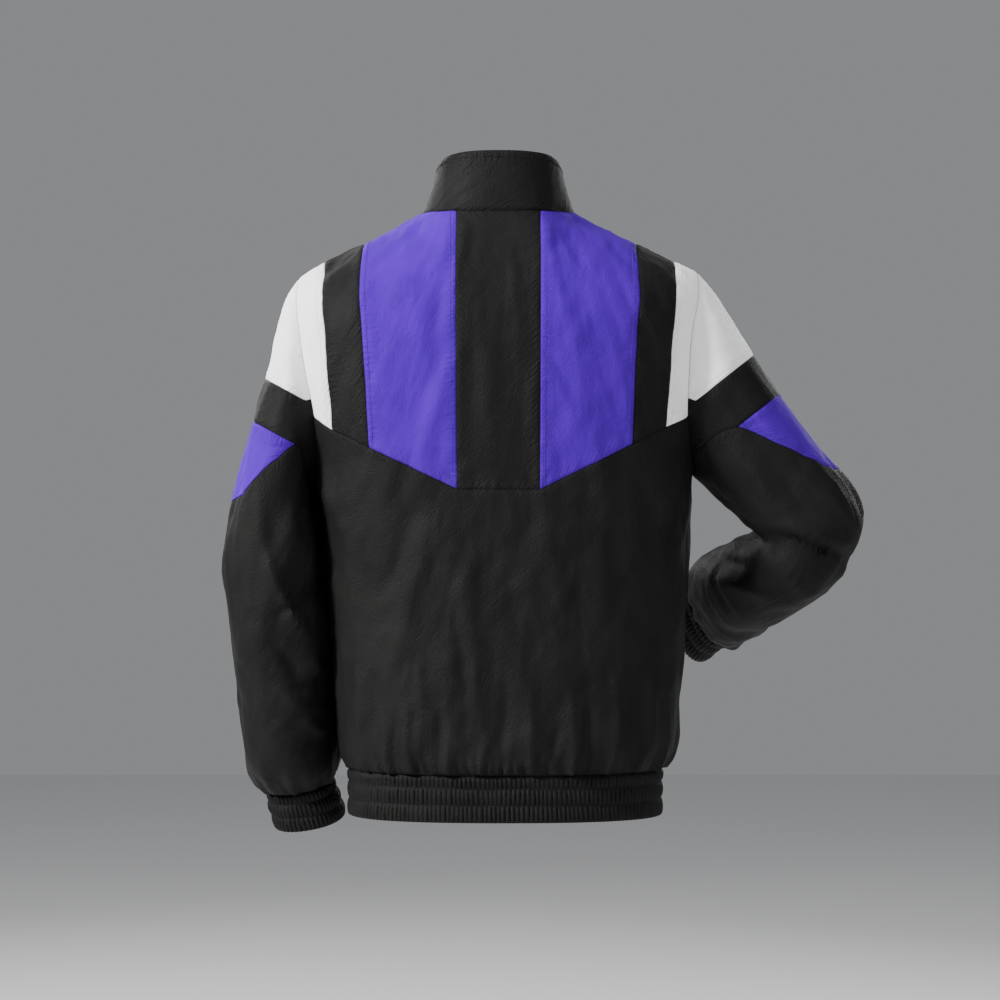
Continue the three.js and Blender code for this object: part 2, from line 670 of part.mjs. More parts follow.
// The front yokes and the lower fronts.
function fronts() {
  const out = [];
  const rows = zipRows();
  for (const [sign, arm] of [[1, 'left'], [-1, 'right']]) {
    const xs = shoulderXs(sign);
    const upperArm = armEdge(arm, ARM_UPPER, -1);
    const over = [...xs.purple.slice(1), ...xs.side.slice(1), ...xs.white.slice(1)];
    const top = frontNeck(sign).concat(over.map((x) => ridgePoint(x, -1)));
    top[top.length - 1] = upperArm[0];
    const seam = frontSeam(sign, arm);
    const zipUpper = rows.upper.map((z) => [zipAngle(sign, z), z]);
    out.push(trunkWall('front_yoke_' + arm, [top, seam, zipUpper, upperArm], 'purple'));
    const lowerArm = armEdge(arm, ARM_LOWER, -1);
    const side = sign > 0 ? 0 : -Math.PI;
    const topLow = seam.concat(lowerArm.slice(1));
    const from = zipAngle(sign, HEM_TOP);
    const bottom = spread(from, side, topLow.length - 1).map((angle) => [angle, HEM_TOP]);
    const zipLower = rows.lower.map((z) => [zipAngle(sign, z), z]);
    const sideEdge = sideRows(lowerArm[lowerArm.length - 1][1]).map((z) => [side, z]);
    out.push(trunkWall('front_lower_' + arm, [topLow, bottom, zipLower, sideEdge], 'black'));
  }
  return out;
}

// Sections of a sleeve as a centre and two half axes.
function stations(arm) {
  const rows = SLEEVE[arm].map((row) => ({
    at: row.at,
    c: vec((row.ox + row.ix) / 2, row.y, (row.oz + row.iz) / 2),
    u: vec((row.ox - row.ix) / 2, 0, (row.oz - row.iz) / 2),
    deep: row.deep,
  }));
  rows.forEach((row, k) => {
    const a = rows[Math.max(0, k - 1)].c;
    const b = rows[Math.min(rows.length - 1, k + 1)].c;
    const v = b.clone().sub(a).cross(row.u).normalize();
    if (v.y < 0) v.negate();
    row.v = v.multiplyScalar(row.deep);
  });
  return rows;
}

const STATIONS = { left: stations('left'), right: stations('right') };
const LENGTH = { left: 468, right: 496 };

function ringPoint(row, angle) {
  const c = Math.cos(angle);
  const s = Math.sin(angle);
  const e = 2 / 2.2;
  const p = row.c.clone();
  p.addScaledVector(row.u, Math.sign(c) * Math.abs(c) ** e);
  return p.addScaledVector(row.v, Math.sign(s) * Math.abs(s) ** e);
}

// A point of a sleeve at an angle in degrees and a share of its length.
function sleeve(arm, deg, share) {
  const angle = rad(deg);
  const base = { at: 0, p: trunk(...armPoint(arm, deg)) };
  const rows = [base, ...STATIONS[arm].map((row) => ({ at: row.at, p: ringPoint(row, angle) }))];
  const at = clamp(share, 0, 1) * LENGTH[arm];
  let i = 0;
  while (i < rows.length - 2 && at > rows[i + 1].at) i += 1;
  const slope = (k) => {
    const a = rows[Math.max(0, k - 1)];
    const b = rows[Math.min(rows.length - 1, k + 1)];
    return b.p.clone().sub(a.p).divideScalar(b.at - a.at);
  };
  const span = rows[i + 1].at - rows[i].at;
  const t = (at - rows[i].at) / span;
  const t2 = t * t;
  const t3 = t2 * t;
  const h0 = 2 * t3 - 3 * t2 + 1;
  const p = rows[i].p.clone().multiplyScalar(h0);
  p.addScaledVector(slope(i), (t3 - 2 * t2 + t) * span);
  p.addScaledVector(rows[i + 1].p, 1 - h0);
  return p.addScaledVector(slope(i + 1), (t3 - t2) * span);
}

function sleeveNormal(arm, deg, share) {
  const e = 0.004;
  const low = clamp(share - e, 0, 1);
  const high = clamp(share + e, 0, 1);
  const round = sleeve(arm, deg + 1.5, share).sub(sleeve(arm, deg - 1.5, share));
  const along = sleeve(arm, deg, high).sub(sleeve(arm, deg, low));
  return along.cross(round).multiplyScalar(-ARM[arm].sign).normalize().multiplyScalar(-1);
}

// How a sleeve leaves the armhole, so that its wall stands clear of the trunk's.
function armFrame(arm, deg) {
  const p = trunk(...armPoint(arm, deg));
  const n = trunkNormal(p);
  const d = 0.5;
  const round = trunk(...armPoint(arm, deg + d)).sub(trunk(...armPoint(arm, deg - d))).normalize();
  const away = round.clone().cross(n).multiplyScalar(ARM[arm].sign).normalize();
  const leave = sleeve(arm, deg, 0.02).sub(p);
  leave.addScaledVector(round, -leave.dot(round)).normalize();
  const rise = leave.dot(n);
  const fold = rise > -0.1 ? clamp((1 - leave.dot(away)) / 2, 0, 1) : 0;
  const move = away.multiplyScalar(0.2 * (1 - fold)).addScaledVector(n, 0.4 * fold);
  return { n, move, blend: clamp(0.5 - 5 * rise, 0, 1) };
}

function sleeveFold(arm, p, deg, share) {
  const sin = Math.sin(rad(deg));
  const fade = clamp((share * LENGTH[arm]) / 60, 0, 1) * clamp(((1 - share) * LENGTH[arm]) / 20, 0, 1);
  let out = 0;
  for (const fold of SLEEVE_FOLDS) {
    if (fold.arm === arm && fold.face * sin > 0) {
      const dx = fold.x1 - fold.x0;
      const dz = fold.z1 - fold.z0;
      const t = clamp(((p.x - fold.x0) * dx + (p.z - fold.z0) * dz) / (dx * dx + dz * dz), 0, 1);
      const gap = Math.hypot(p.x - fold.x0 - dx * t, p.z - fold.z0 - dz * t);
      out += fold.high * Math.exp(-((gap / fold.wide) ** 2)) * Math.abs(sin) ** 0.7;
    }
  }
  const end = (1 - share) * LENGTH[arm];
  const inner = arm === 'left' ? clamp((Math.cos(rad(deg)) + 0.75) * 2, 0, 1) : 1;
  const gather = end < 45 ? 2.4 * Math.cos(rad(deg * 9)) * (1 - end / 45) * Math.min(1, end / 9) : 0;
  return (out * fade + gather) * inner;
}

function sleeveWall(name, arm, edges, paint, wrap = false) {
  const grid = patch(...edges).map((row) => row.map(([deg, share]) => {
    const p = sleeve(arm, deg, share);
    const n = sleeveNormal(arm, deg, share);
    if (share > 0) return { p, n, out: sleeveFold(arm, p, deg, share) };
    const frame = armFrame(arm, deg);
    return { p, n: n.lerp(frame.n, frame.blend).normalize(), move: frame.move };
  }));
  if (wrap) for (const row of grid) row.pop();
  return wall(name, grid, { paint, wrap, seam: paint === 'purple' ? 0.3 : SEAM });
}

// The share of a sleeve's length at which a line seen from the back crosses an angle.
function seamShare(arm, deg, line) {
  const height = (share) => {
    const p = sleeve(arm, Math.abs(deg), share);
    const f = 3000 / (3000 - p.y);
    const x = p.x * f;
    const z = -322.6 + (p.z + 322.6) * f;
    let i = 0;
    const s = ARM[arm].sign;
    while (i < line.length - 2 && s * x > s * line[i + 1].x) i += 1;
    const a = line[i];
    const b = line[i + 1];
    return z - lerp(a.z, b.z, (x - a.x) / (b.x - a.x));
  };
  let lo = 0.001;
  let hi = 0.75;
  for (let k = 0; k < 40; k += 1) {
    const m = (lo + hi) / 2;
    if (height(m) > 0) lo = m;
    else hi = m;
  }
  return (lo + hi) / 2;
}

// The angle at which a line seen from the back reaches a given place.
function seamAngle(arm, line) {
  const s = ARM[arm].sign;
  let lo = 20;
  let hi = 150;
  for (let k = 0; k < 30; k += 1) {
    const m = (lo + hi) / 2;
    const p = sleeve(arm, m, seamShare(arm, m, line));
    if (s * p.x * (3000 / (3000 - p.y)) > s * line[0].x) lo = m;
    else hi = m;
  }
  return (lo + hi) / 2;
}

// The white cap, black band, purple kite and lower part of a sleeve.
function sleevePieces(arm) {
  const seams = SLEEVE_SEAMS[arm];
  const capEnd = ARMHOLE.cap[ARMHOLE.cap.length - 1];
  const bandEnd = ARMHOLE.band[ARMHOLE.band.length - 1];
  const half = ARMHOLE.top.length - 1;
  const top = [];
  for (let i = -half; i <= half; i += 1) {
    top.push([Math.sign(i) * ARMHOLE.top[Math.abs(i)], 0]);
  }
  const capSeam = spread(-capEnd, capEnd, half * 2).map((deg) => {
    const ends = Math.abs(deg) > capEnd - 0.01;
    return [deg, ends ? 0 : seamShare(arm, deg, seams.cap)];
  });
  const capSide = [ARMHOLE.top[half], ...ARMHOLE.cap].map((deg) => [deg, 0]);
  const bandSide = [capEnd, ...ARMHOLE.yoke, ...ARMHOLE.band].map((deg) => [deg, 0]);
  const other = (edge) => edge.map(([deg, share]) => [-deg, share]);
  const tip = seamAngle(arm, seams.kiteTop);
  const tipShare = seamShare(arm, tip, seams.kiteTop);
  const kiteTop = spread(tip, 0, 5).map((deg) => [deg, seamShare(arm, deg, seams.kiteTop)]);
  const kiteLow = spread(tip, 0, 5).map((deg, i) => {
    return [deg, i === 0 ? tipShare : seamShare(arm, deg, seams.kiteLow)];
  });
  kiteTop[0] = [tip, tipShare];
  kiteLow[4][1] = lerp(kiteLow[3][1], kiteLow[5][1], 0.5);
  const lead = [[bandEnd, 0], [lerp(bandEnd, tip, 0.5), tipShare / 2]];
  const bandLow = [...lead, ...kiteTop];
  const bandBottom = [...other(bandLow), ...[...bandLow].reverse().slice(1)];
  const lowTop = [...lead, ...kiteLow];
  const under = [...ARMHOLE.under].reverse().map((deg) => [deg, 0]);
  const halfTop = [...under, ...lowTop];
  const lowerTop = [...other(halfTop), ...[...halfTop].reverse().slice(1)];
  const lowerEnd = spread(-180, 180, lowerTop.length - 1).map((deg) => [deg, 1]);
  const rows = spread(0, 1, CELLS.sleeve, 0.95);
  const edge = (deg) => rows.map((share) => [deg, share]);
  const kiteSides = [[...kiteTop].reverse(), other(kiteLow), other([...kiteTop].reverse()), kiteLow];
  return [
    sleeveWall('sleeve_cap_' + arm, arm, [top, capSeam, other(capSide), capSide], 'white'),
    sleeveWall('sleeve_band_' + arm, arm, [capSeam, bandBottom, other(bandSide), bandSide], 'black'),
    sleeveWall('sleeve_kite_' + arm, arm, kiteSides, 'purple'),
    sleeveWall('sleeve_lower_' + arm, arm, [lowerTop, lowerEnd, edge(-180), edge(180)], 'black', true),
  ];
}

// A cuff: a gathered elastic ring of three channels.
function cuff(arm) {
  const from = STATIONS[arm][STATIONS[arm].length - 1];
  const to = CUFF[arm];
  const end = vec(to.x, to.y, to.z);
  const axis = end.clone().sub(from.c).normalize();
  const flat = from.u.clone().cross(from.v).normalize();
  const u0 = from.u.clone();
  const u1 = u0.clone().normalize().multiplyScalar(to.wide);
  const v1 = from.v.clone().normalize().multiplyScalar(to.deep);
  const count = CUFF_GATHERS.count * 2;
  const grid = CHANNELS.map(({ t, out }) => {
    const row = [];
    const c = from.c.clone().lerp(end, t).addScaledVector(axis, 0.4 * (1 - t));
    const flare = Math.min(1, t * 2.2);
    const ring = { c, u: u0.clone().lerp(u1, flare), v: from.v.clone().lerp(v1, flare) };
    for (let i = 0; i < count; i += 1) {
      const angle = (i / count) * Math.PI * 2;
      const p = ringPoint(ring, angle);
      const n = ringPoint(ring, angle + 0.01).sub(ringPoint(ring, angle - 0.01)).cross(flat).normalize();
      if (n.dot(p.clone().sub(c)) < 0) n.negate();
      row.push({ p, n, out: out + (i % 2) * CUFF_GATHERS.ridge, plain: true });
    }
    return row;
  });
  return wall('cuff_' + arm, grid, { wrap: true });
}

// The hem band, from zip to zip round the back.
function hemPoint(angle, t) {
  const z = lerp(HEM_TOP - 0.32, HEM.bottom, t);
  const deep = Math.sin(angle) >= 0 ? HEM.back : HEM.front;
  const ease = Math.min(1, t * 4);
  const tuck = 1.2 * (1 - ease);
  return vec(-7.5 + (HEM.half - tuck) * power(Math.cos(angle)), (deep - tuck) * power(Math.sin(angle)), z);
}

function hemBand() {
  const start = -Math.PI / 2 + hemZip();
  const angles = spread(start, 1.5 * Math.PI - hemZip(), HEM.gathers * 2);
  const grid = CHANNELS.map(({ t, out }) => angles.map((angle, i) => {
    const p = hemPoint(angle, t);
    const n = hemNormal(angle, t);
    const edge = i < 2 || i > angles.length - 3;
    const ridgeOut = (i % 2) * HEM.ridge * (edge ? 0 : 1);
    return { p, n, out: edge ? 0 : out + ridgeOut, plain: true };
  }));
  return wall('hem_band', grid);
}

const hemNormal = (angle, t) => {
  const d = hemPoint(angle + 0.01, t).sub(hemPoint(angle - 0.01, t));
  return vec(d.y, -d.x, 0).normalize();
};

// The angle at the hem that leaves half the width of the zip open.
function hemZip() {
  return Math.acos((1 - (ZIP_EDGE / HEM.half) ** (SQUARE)) ** 0.5);
}

// Points of the neck seam from the left of the zip, over the back, to the right of it.
function neckLoop() {
  const left = frontNeck(1).map(([a, z]) => trunk(a, z));
  const right = frontNeck(-1).map(([a, z]) => trunk(a, z));
  const out = [...left];
  const back = [
    ...spread(NECK_X, STRIPES[0].centreL, CELLS.neckBack).slice(1),
    ...spread(STRIPES[0].centreL, STRIPES[0].centreR, CELLS.centre).slice(1),
    ...spread(STRIPES[0].centreR, -NECK_X, CELLS.neckBack).slice(1, -1),
  ];
  for (const x of back) out.push(trunk(...neckPoint(x)));
  return out.concat(right.reverse());
}

// The collar's top edge: an oval that is level at the back and falls to the front.
const COLLAR = { x: -1, y: -4, half: 69.5, back: 66, front: 69, high: 61.5, low: 8 };

function collarTop(p) {
  const dx = p.x - COLLAR.x;
  const dy = p.y - COLLAR.y;
  const deep = dy > 0 ? COLLAR.back : COLLAR.front;
  const r = (Math.abs(dx / COLLAR.half) ** 2.3 + Math.abs(dy / deep) ** 2.3) ** (1 / 2.3);
  const front = clamp(0.5 - dy / Math.hypot(dx, dy) / 2, 0, 1);
  const z = lerp(COLLAR.high, COLLAR.low, front ** 1.7);
  return vec(COLLAR.x + dx / r, COLLAR.y + dy / r, z);
}

function collarPoint(q, t) {
  const top = collarTop(q);
  const p = q.clone().lerp(top, t);
  const lean = t ** 0.85;
  p.x = lerp(q.x, top.x, lean);
  p.y = lerp(q.y, top.y, lean);
  return p;
}

const COLLAR_ROWS = spread(1, 0, CELLS.collar);

function collarGrid() {
  const loop = neckLoop();
  return COLLAR_ROWS.map((t) => loop.map((q, i) => {
    const a = loop[Math.max(0, i - 1)];
    const b = loop[Math.min(loop.length - 1, i + 1)];
    const p = collarPoint(q, t);
    const round = collarPoint(b, t).sub(collarPoint(a, t));
    const up = collarPoint(q, Math.min(1, t + 0.05)).sub(collarPoint(q, Math.max(0, t - 0.05)));
    return { p, n: round.cross(up).normalize() };
  }));
}

function collar() {
  return wall('collar', collarGrid(), { thick: 2.2 });
}

// The zip tapes run from the top of the collar to the bottom of the hem.
function zipTape(arm) {
  const sign = ARM[arm].sign;
  const rows = [];
  const grid = collarGrid();
  for (const row of grid) {
    const cell = sign > 0 ? row[0] : row[row.length - 1];
    rows.push({ p: cell.p, n: vec(0, cell.n.y, cell.n.z).normalize() });
  }
  const { upper, lower } = zipRows();
  for (const z of [...upper.slice(1), ...lower.slice(1)]) {
    const p = trunk(zipAngle(sign, z), z);
    const n = trunkNormal(p);
    rows.push({ p, n: vec(0, n.y, n.z).normalize() });
  }
  for (const { t } of CHANNELS) {
    if (t > 0) {
      const p = hemPoint(-Math.PI / 2 + sign * hemZip(), t);
      rows.push({ p, n: vec(0, -1, 0) });
    }
  }
  const strip = rows.map(({ p, n }) => {
    const edge = p.x;
    const middle = midX(clamp(p.z, HEM_TOP, 0)) + sign * ZIP_MID;
    return [edge - sign * 0.32, middle].map((x) => ({ p: vec(x, p.y, p.z), n }));
  });
  return wall('zip_tape_' + arm, strip, { paint: 'tape', thick: TAPE_WALL });
}

// The zip slider with its bridge, and the pull tab that hangs from it.
const SLIDER_WIDE = 4;
const SLIDER_GAP = 0.5;
const SLIDER_SIDE = [
  { out: 0, z: -5.5 },
  { out: 2, z: -5.5 },
  { out: 2.6, z: -4.6 },
  { out: 5.4, z: -3.2 },
  { out: 6.2, z: -2 },
  { out: 6.2, z: 1.6 },
  { out: 5.2, z: 3 },
  { out: 2.4, z: 4.4 },
  { out: 2, z: 5.5 },
  { out: 0, z: 5.5 },
];
const BRIDGE = { near: 2.2, far: 4.8, low: -1.9, high: 1.5 };
const TAB = { wide: 7.6, thick: 1.2, bar: 1.2, eye: 5, long: 28, out: 3.5, z: -0.2 };

function sliderPlace() {
  const rows = collarGrid();
  const a = rows[0][0].p;
  const b = rows[rows.length - 1][0].p;
  const lean = Math.atan2(a.y - b.y, a.z - b.z);
  const p = a.clone().lerp(b, 0.16);
  return { at: vec(midX(0), p.y - SLIDER_GAP / Math.cos(lean), p.z), lean };
}

function outline(points) {
  const shape = new THREE.Shape();
  points.forEach(([x, y], i) => (i ? shape.lineTo(x, y) : shape.moveTo(x, y)));
  return shape;
}

function place(geometry) {
  const { at, lean } = sliderPlace();
  geometry.rotateX(-lean);
  geometry.translate(at.x, at.y, at.z);
  return geometry;
}

function slider() {
  const shape = outline(SLIDER_SIDE.map((row) => [row.out, row.z]));
  const { near, far, low, high } = BRIDGE;
  shape.holes.push(outline([[near, low], [far, low], [far, high], [near, high]]));
  const geometry = new THREE.ExtrudeGeometry(shape, { depth: SLIDER_WIDE, bevelEnabled: false });
  geometry.translate(0, 0, -SLIDER_WIDE / 2);
  const turn = new THREE.Matrix4().makeBasis(vec(0, -1, 0), vec(0, 0, 1), vec(-1, 0, 0));
  return solid('zip_slider', place(geometry.applyMatrix4(turn)), 'metal');
}

function pullTab() {
  const w = TAB.wide / 2;
  const e = w - 1.3;
  const b = TAB.bar / 2;
  const left = [[-w, b], [-w, -6], [-w + 0.8, -TAB.long + 2], [-w + 2, -TAB.long]];
  const right = left.map(([x, z]) => [-x, z]).reverse();
  const shape = outline([...left, ...right]);
  shape.holes.push(outline([[-e, -b], [e, -b], [e, -b - TAB.eye], [-e, -b - TAB.eye]]));
  const geometry = new THREE.ExtrudeGeometry(shape, { depth: TAB.thick, bevelEnabled: false });
  geometry.translate(0, 0, -TAB.thick / 2);
  const turn = new THREE.Matrix4().makeBasis(vec(1, 0, 0), vec(0, 0, 1), vec(0, -1, 0));
  geometry.applyMatrix4(turn);
  geometry.translate(0, -TAB.out, TAB.z);
  return solid('zip_pull_tab', place(geometry), 'metal');
}

const jacket = new THREE.Group();
jacket.name = 'windbreaker_jacket';
jacket.add(collar());
for (const mesh of backYoke()) jacket.add(mesh);
jacket.add(backLower());
for (const mesh of fronts()) jacket.add(mesh);
for (const arm of ['left', 'right']) {
  for (const mesh of sleevePieces(arm)) jacket.add(mesh);
  jacket.add(cuff(arm));
  jacket.add(zipTape(arm));
}
jacket.add(hemBand());
jacket.add(slider());
jacket.add(pullTab());

export default jacket;
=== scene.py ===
# %% [markdown]
# # A colour-blocked windbreaker
#
# The real jacket is thin crinkled nylon, cut in flat panels and sewn together.
# Its plain solids come in first as a fixed frame, and every panel is then made again as real cloth:
# a fine grid of points on the same body form, with folds, puckered seams and a wall under one millimetre.
# A cloth simulation could drape it, but the photograph fixes where each seam and fold lies,
# so the grids are placed by function, which keeps every seam where it was cut.

# %% Start
import math

import bpy
import numpy as np
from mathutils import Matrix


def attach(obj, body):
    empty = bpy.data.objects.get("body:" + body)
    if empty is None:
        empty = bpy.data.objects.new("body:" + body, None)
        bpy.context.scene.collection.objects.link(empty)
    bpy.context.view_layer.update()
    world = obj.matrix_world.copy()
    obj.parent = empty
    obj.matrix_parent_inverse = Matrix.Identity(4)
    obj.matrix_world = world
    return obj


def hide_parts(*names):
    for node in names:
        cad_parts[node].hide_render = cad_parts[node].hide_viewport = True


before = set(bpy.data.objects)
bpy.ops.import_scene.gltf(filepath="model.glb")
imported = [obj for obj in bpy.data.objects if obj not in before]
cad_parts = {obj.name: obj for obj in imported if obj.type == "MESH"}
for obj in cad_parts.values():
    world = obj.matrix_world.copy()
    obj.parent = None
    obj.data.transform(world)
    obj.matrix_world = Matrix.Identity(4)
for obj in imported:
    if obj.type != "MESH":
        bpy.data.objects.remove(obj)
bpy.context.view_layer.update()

MM = 0.001

# %% [markdown]
# ## The body form
#
# Under the cloth lies one smooth form: at each height it has a middle, a half width, and a depth to back and front.
# A lofted curve object could carry it, but a table of sizes is easier to read and to correct.
# The same tables give the plain solids, so each cloth panel falls where its solid is. All sizes here are millimetres.

# %% Tables of the trunk
SQUARE = 2.5
SHOULDER_Y = -5
SHOULDER_ROUND = 90
HEM_TOP = -621
NECK_X = 86.5
ZIP_EDGE = 6.5
ZIP_MID = 0.5
YOKE_FRONT = -200

# height, middle, half width, depth to the back, depth to the front
TRUNK = [
    (20, -1, 250, 58, 58),
    (0, -1, 250, 62.5, 64),
    (-30, -1, 248, 80, 73),
    (-62, 0, 246, 97, 86),
    (-100, 2, 240, 111, 104),
    (-135, 3, 232, 119, 117),
    (-185, 1, 228, 123, 126),
    (-235, -3, 218.5, 122, 128),
    (-290, -5.8, 209.5, 119, 126),
    (-345, -8.8, 204.3, 116, 123),
    (-400, -9.8, 200.8, 114, 120),
    (-450, -11.2, 197.7, 113, 118),
    (-500, -11.7, 195.5, 113, 117),
    (-550, -10.6, 191.3, 114, 118),
    (-585, -10.2, 189.2, 114, 118),
    (-603, -8.6, 184.6, 112, 115),
    (-621, -7.5, 174.5, 107, 109),
]

# distance from the middle, height of the shoulder ridge on the left and on the right
RIDGE = [
    (0, 95, 95), (30, 66, 66), (52, 38, 37), (70, 14, 13), (80, 4, 2), (87, -1.9, -2.5),
    (103, -10.9, -10.5), (129, -25, -24), (150, -35.3, -34.5), (170, -44.2, -43),
    (193, -56, -53.5), (210, -66, -61), (224, -75, -68.5), (240, -86, -82), (262, -102, -102),
]
print("the trunk is", TRUNK[6][2] * 2, "mm wide at the chest and", TRUNK[-1][2] * 2, "mm at the hem")


# %% Reading a table smoothly
def smooth_value(rows, column, at):
    rows = np.asarray(rows, float)
    if rows[0, 0] > rows[-1, 0]:
        rows = rows[::-1]
    key, value = rows[:, 0], rows[:, column]
    at = np.clip(np.asarray(at, float), key[0], key[-1])
    slope = np.gradient(value, np.arange(len(key))) / np.gradient(key, np.arange(len(key)))
    i = np.clip(np.searchsorted(key, at, side="right") - 1, 0, len(key) - 2)
    span = key[i + 1] - key[i]
    t = (at - key[i]) / span
    t2, t3 = t * t, t ** 3
    h = 2 * t3 - 3 * t2 + 1
    curve = h * value[i] + (1 - h) * value[i + 1]
    return curve + ((t3 - 2 * t2 + t) * slope[i] + (t3 - t2) * slope[i + 1]) * span


def ridge(x):
    return np.where(x < 0, smooth_value(RIDGE, 2, np.abs(x)), smooth_value(RIDGE, 1, np.abs(x)))


def squared(v):
    return np.sign(v) * np.abs(v) ** (2 / SQUARE)


def unit(v):
    return v / np.maximum(np.linalg.norm(v, axis=-1, keepdims=True), 1e-9)


print("the ridge is", round(float(ridge(np.float64(150))), 1), "mm high above the left shoulder")


# %% A point of the trunk, from its angle and height
def trunk_point(place):
    angle, z = place[..., 0], place[..., 1]
    mid, half = smooth_value(TRUNK, 1, z), smooth_value(TRUNK, 2, z)
    deep = np.where(np.sin(angle) >= 0, smooth_value(TRUNK, 3, z), smooth_value(TRUNK, 4, z))
    x = mid + half * squared(np.cos(angle))
    y = deep * squared(np.sin(angle))
    drop = (ridge(x) - z) / SHOULDER_ROUND
    g = np.sqrt(1 - (1 - np.clip(drop, 0, 1)) ** 2)
    y = np.where(drop >= 1, y, SHOULDER_Y + (y - SHOULDER_Y) * g)
    return np.stack([x, y, z + 0 * x], axis=-1)


def trunk_level(p):
    x, y, z = p[..., 0], p[..., 1], p[..., 2]
    mid, half = smooth_value(TRUNK, 1, z), smooth_value(TRUNK, 2, z)
    back, front = smooth_value(TRUNK, 3, z), smooth_value(TRUNK, 4, z)
    drop = (ridge(x) - z) / SHOULDER_ROUND
    off = np.abs((x - mid) / half)
    low = off ** SQUARE + np.abs(y / np.where(y >= 0, back, front)) ** SQUARE - 1
    deep = np.where(y >= SHOULDER_Y, back, front)
    side = np.minimum(off, 0.9999) ** SQUARE
    full = np.where(y >= SHOULDER_Y, 1, -1) * deep * (1 - side) ** (1 / SQUARE)
    share = (y - SHOULDER_Y) / (full - SHOULDER_Y)
    return np.where(drop >= 1, low, share ** 2 + (1 - drop) ** 2 - 1)


def trunk_normal(p):
    h = 0.4
    parts = [trunk_level(p + h * axis) - trunk_level(p - h * axis) for axis in np.eye(3)]
    return unit(np.stack(parts, axis=-1))


def angle_at(x, z, face):
    c = np.clip((x - smooth_value(TRUNK, 1, z)) / smooth_value(TRUNK, 2, z), -1, 1)
    return face * np.arccos(np.sign(c) * np.abs(c) ** (SQUARE / 2))


print("the back stands", round(float(trunk_point(np.array([math.pi / 2, -200]))[1]), 1), "mm behind the middle")

# %% [markdown]
# ## Armholes and sleeves
#
# The sleeves are set in: each one starts on the armhole, a tilted loop on the trunk, and runs through
# a row of oval sections to its cuff. The left arm hangs, the right one bends with the hand on the hip.
# A bone-posed tube would work too. Sections read from the photograph keep both outlines true,
# and an angle of 0 degrees is always the top of the shoulder, 90 the back and 180 the underarm.

# %% Tables of the arms
# sign of x, top and bottom of the armhole, its depth to back and front
ARM = {"left": (1, -75, -291, 64, 67), "right": (-1, -67.5, -293, 64, 67)}

# distance down the sleeve, outer edge x z, inner edge x z, middle depth, half depth
SLEEVE = {
    "left": [
        (28, 238, -101, 211, -297, 0, 67),
        (75, 255, -165, 212.5, -305, 0, 68),
        (130, 277.5, -247, 208.5, -321, 2, 70),
        (185, 295.5, -322, 201.5, -351, 2, 71),
        (240, 306, -388, 196, -401, 0, 71),
        (295, 301.5, -450, 191, -456, -4, 70),
        (355, 295, -518, 187.5, -519, -12, 68),
        (412, 287.5, -582, 184.5, -576, -24, 63),
        (445, 282.5, -622, 183.5, -608, -31, 56),
        (460, 273.5, -640, 185.5, -626, -35, 44),
        (468, 261, -650, 189, -638, -38, 34),
    ],
    "right": [
        (28, -238, -86, -224, -301, 0, 67),
        (75, -266, -131, -238, -314, 2, 67),
        (125, -300, -184, -256, -331, 5, 64),
        (170, -332, -229, -270, -344, 8, 61),
        (215, -362, -269, -281, -354, 10, 59),
        (250, -390, -303, -289, -361, 12, 58),
        (280, -405.5, -336, -293, -364.5, 10, 57),
        (305, -399, -367, -291.5, -366, 4, 56),
        (330, -385, -402, -286.5, -366, -6, 55),
        (360, -365, -426, -277, -366, -22, 55),
        (400, -330, -453, -256, -378, -55, 54),
        (440, -301, -476, -246, -382, -90, 48),
        (470, -287.5, -488, -238, -391, -113, 41),
        (488, -279, -493, -235, -396, -126, 35),
        (496, -267, -490, -231, -402, -135, 30),
    ],
}
LENGTH = {"left": 468, "right": 496}
print("sleeve sections:", {arm: len(rows) for arm, rows in SLEEVE.items()})


# %% The armhole loop
def arm_place(arm, deg):
    sign, top, bottom, back, front = ARM[arm]
    deg = np.atleast_1d(np.asarray(deg, float))
    c, s = np.cos(np.radians(deg)), np.sin(np.radians(deg))
    z = (top + bottom) / 2 + (top - bottom) / 2 * c
    y = SHOULDER_Y * (1 + c) / 2 + np.where(s >= 0, back, front) * s
    face = np.where(s > 0, 1.0, -1.0)
    low, high = np.zeros_like(z), np.full_like(z, math.pi / 2)
    for _ in range(34):
        m = (low + high) / 2
        p = trunk_point(np.stack([face * (m if sign > 0 else math.pi - m), z], axis=-1))
        more = (ridge(p[..., 0]) <= z) | (face * (p[..., 1] - y) < 0)
        low, high = np.where(more, m, low), np.where(more, high, m)
    m = (low + high) / 2
    m = np.where((np.abs(s) < 1e-6) & (c < 0), 0, m)
    return np.stack([face * (m if sign > 0 else math.pi - m), z], axis=-1)


def arm_edge(arm, degs, face):
    out = arm_place(arm, face * np.asarray(degs, float))
    out[:, 0] = face * np.abs(out[:, 0])
    return out


tip = trunk_point(arm_place("left", 0))[0]
print("the left sleeve starts", np.round(tip, 1).tolist(), "mm from the neck")


# %% The loop kept as a fine table
LOOP_DEG = np.linspace(-200, 200, 1601)
LOOP = {arm: trunk_point(arm_place(arm, LOOP_DEG)) for arm in ARM}


def loop_point(arm, deg):
    return np.stack([np.interp(deg, LOOP_DEG, LOOP[arm][:, k]) for k in range(3)], axis=-1)


print("loops of", len(LOOP_DEG), "points")


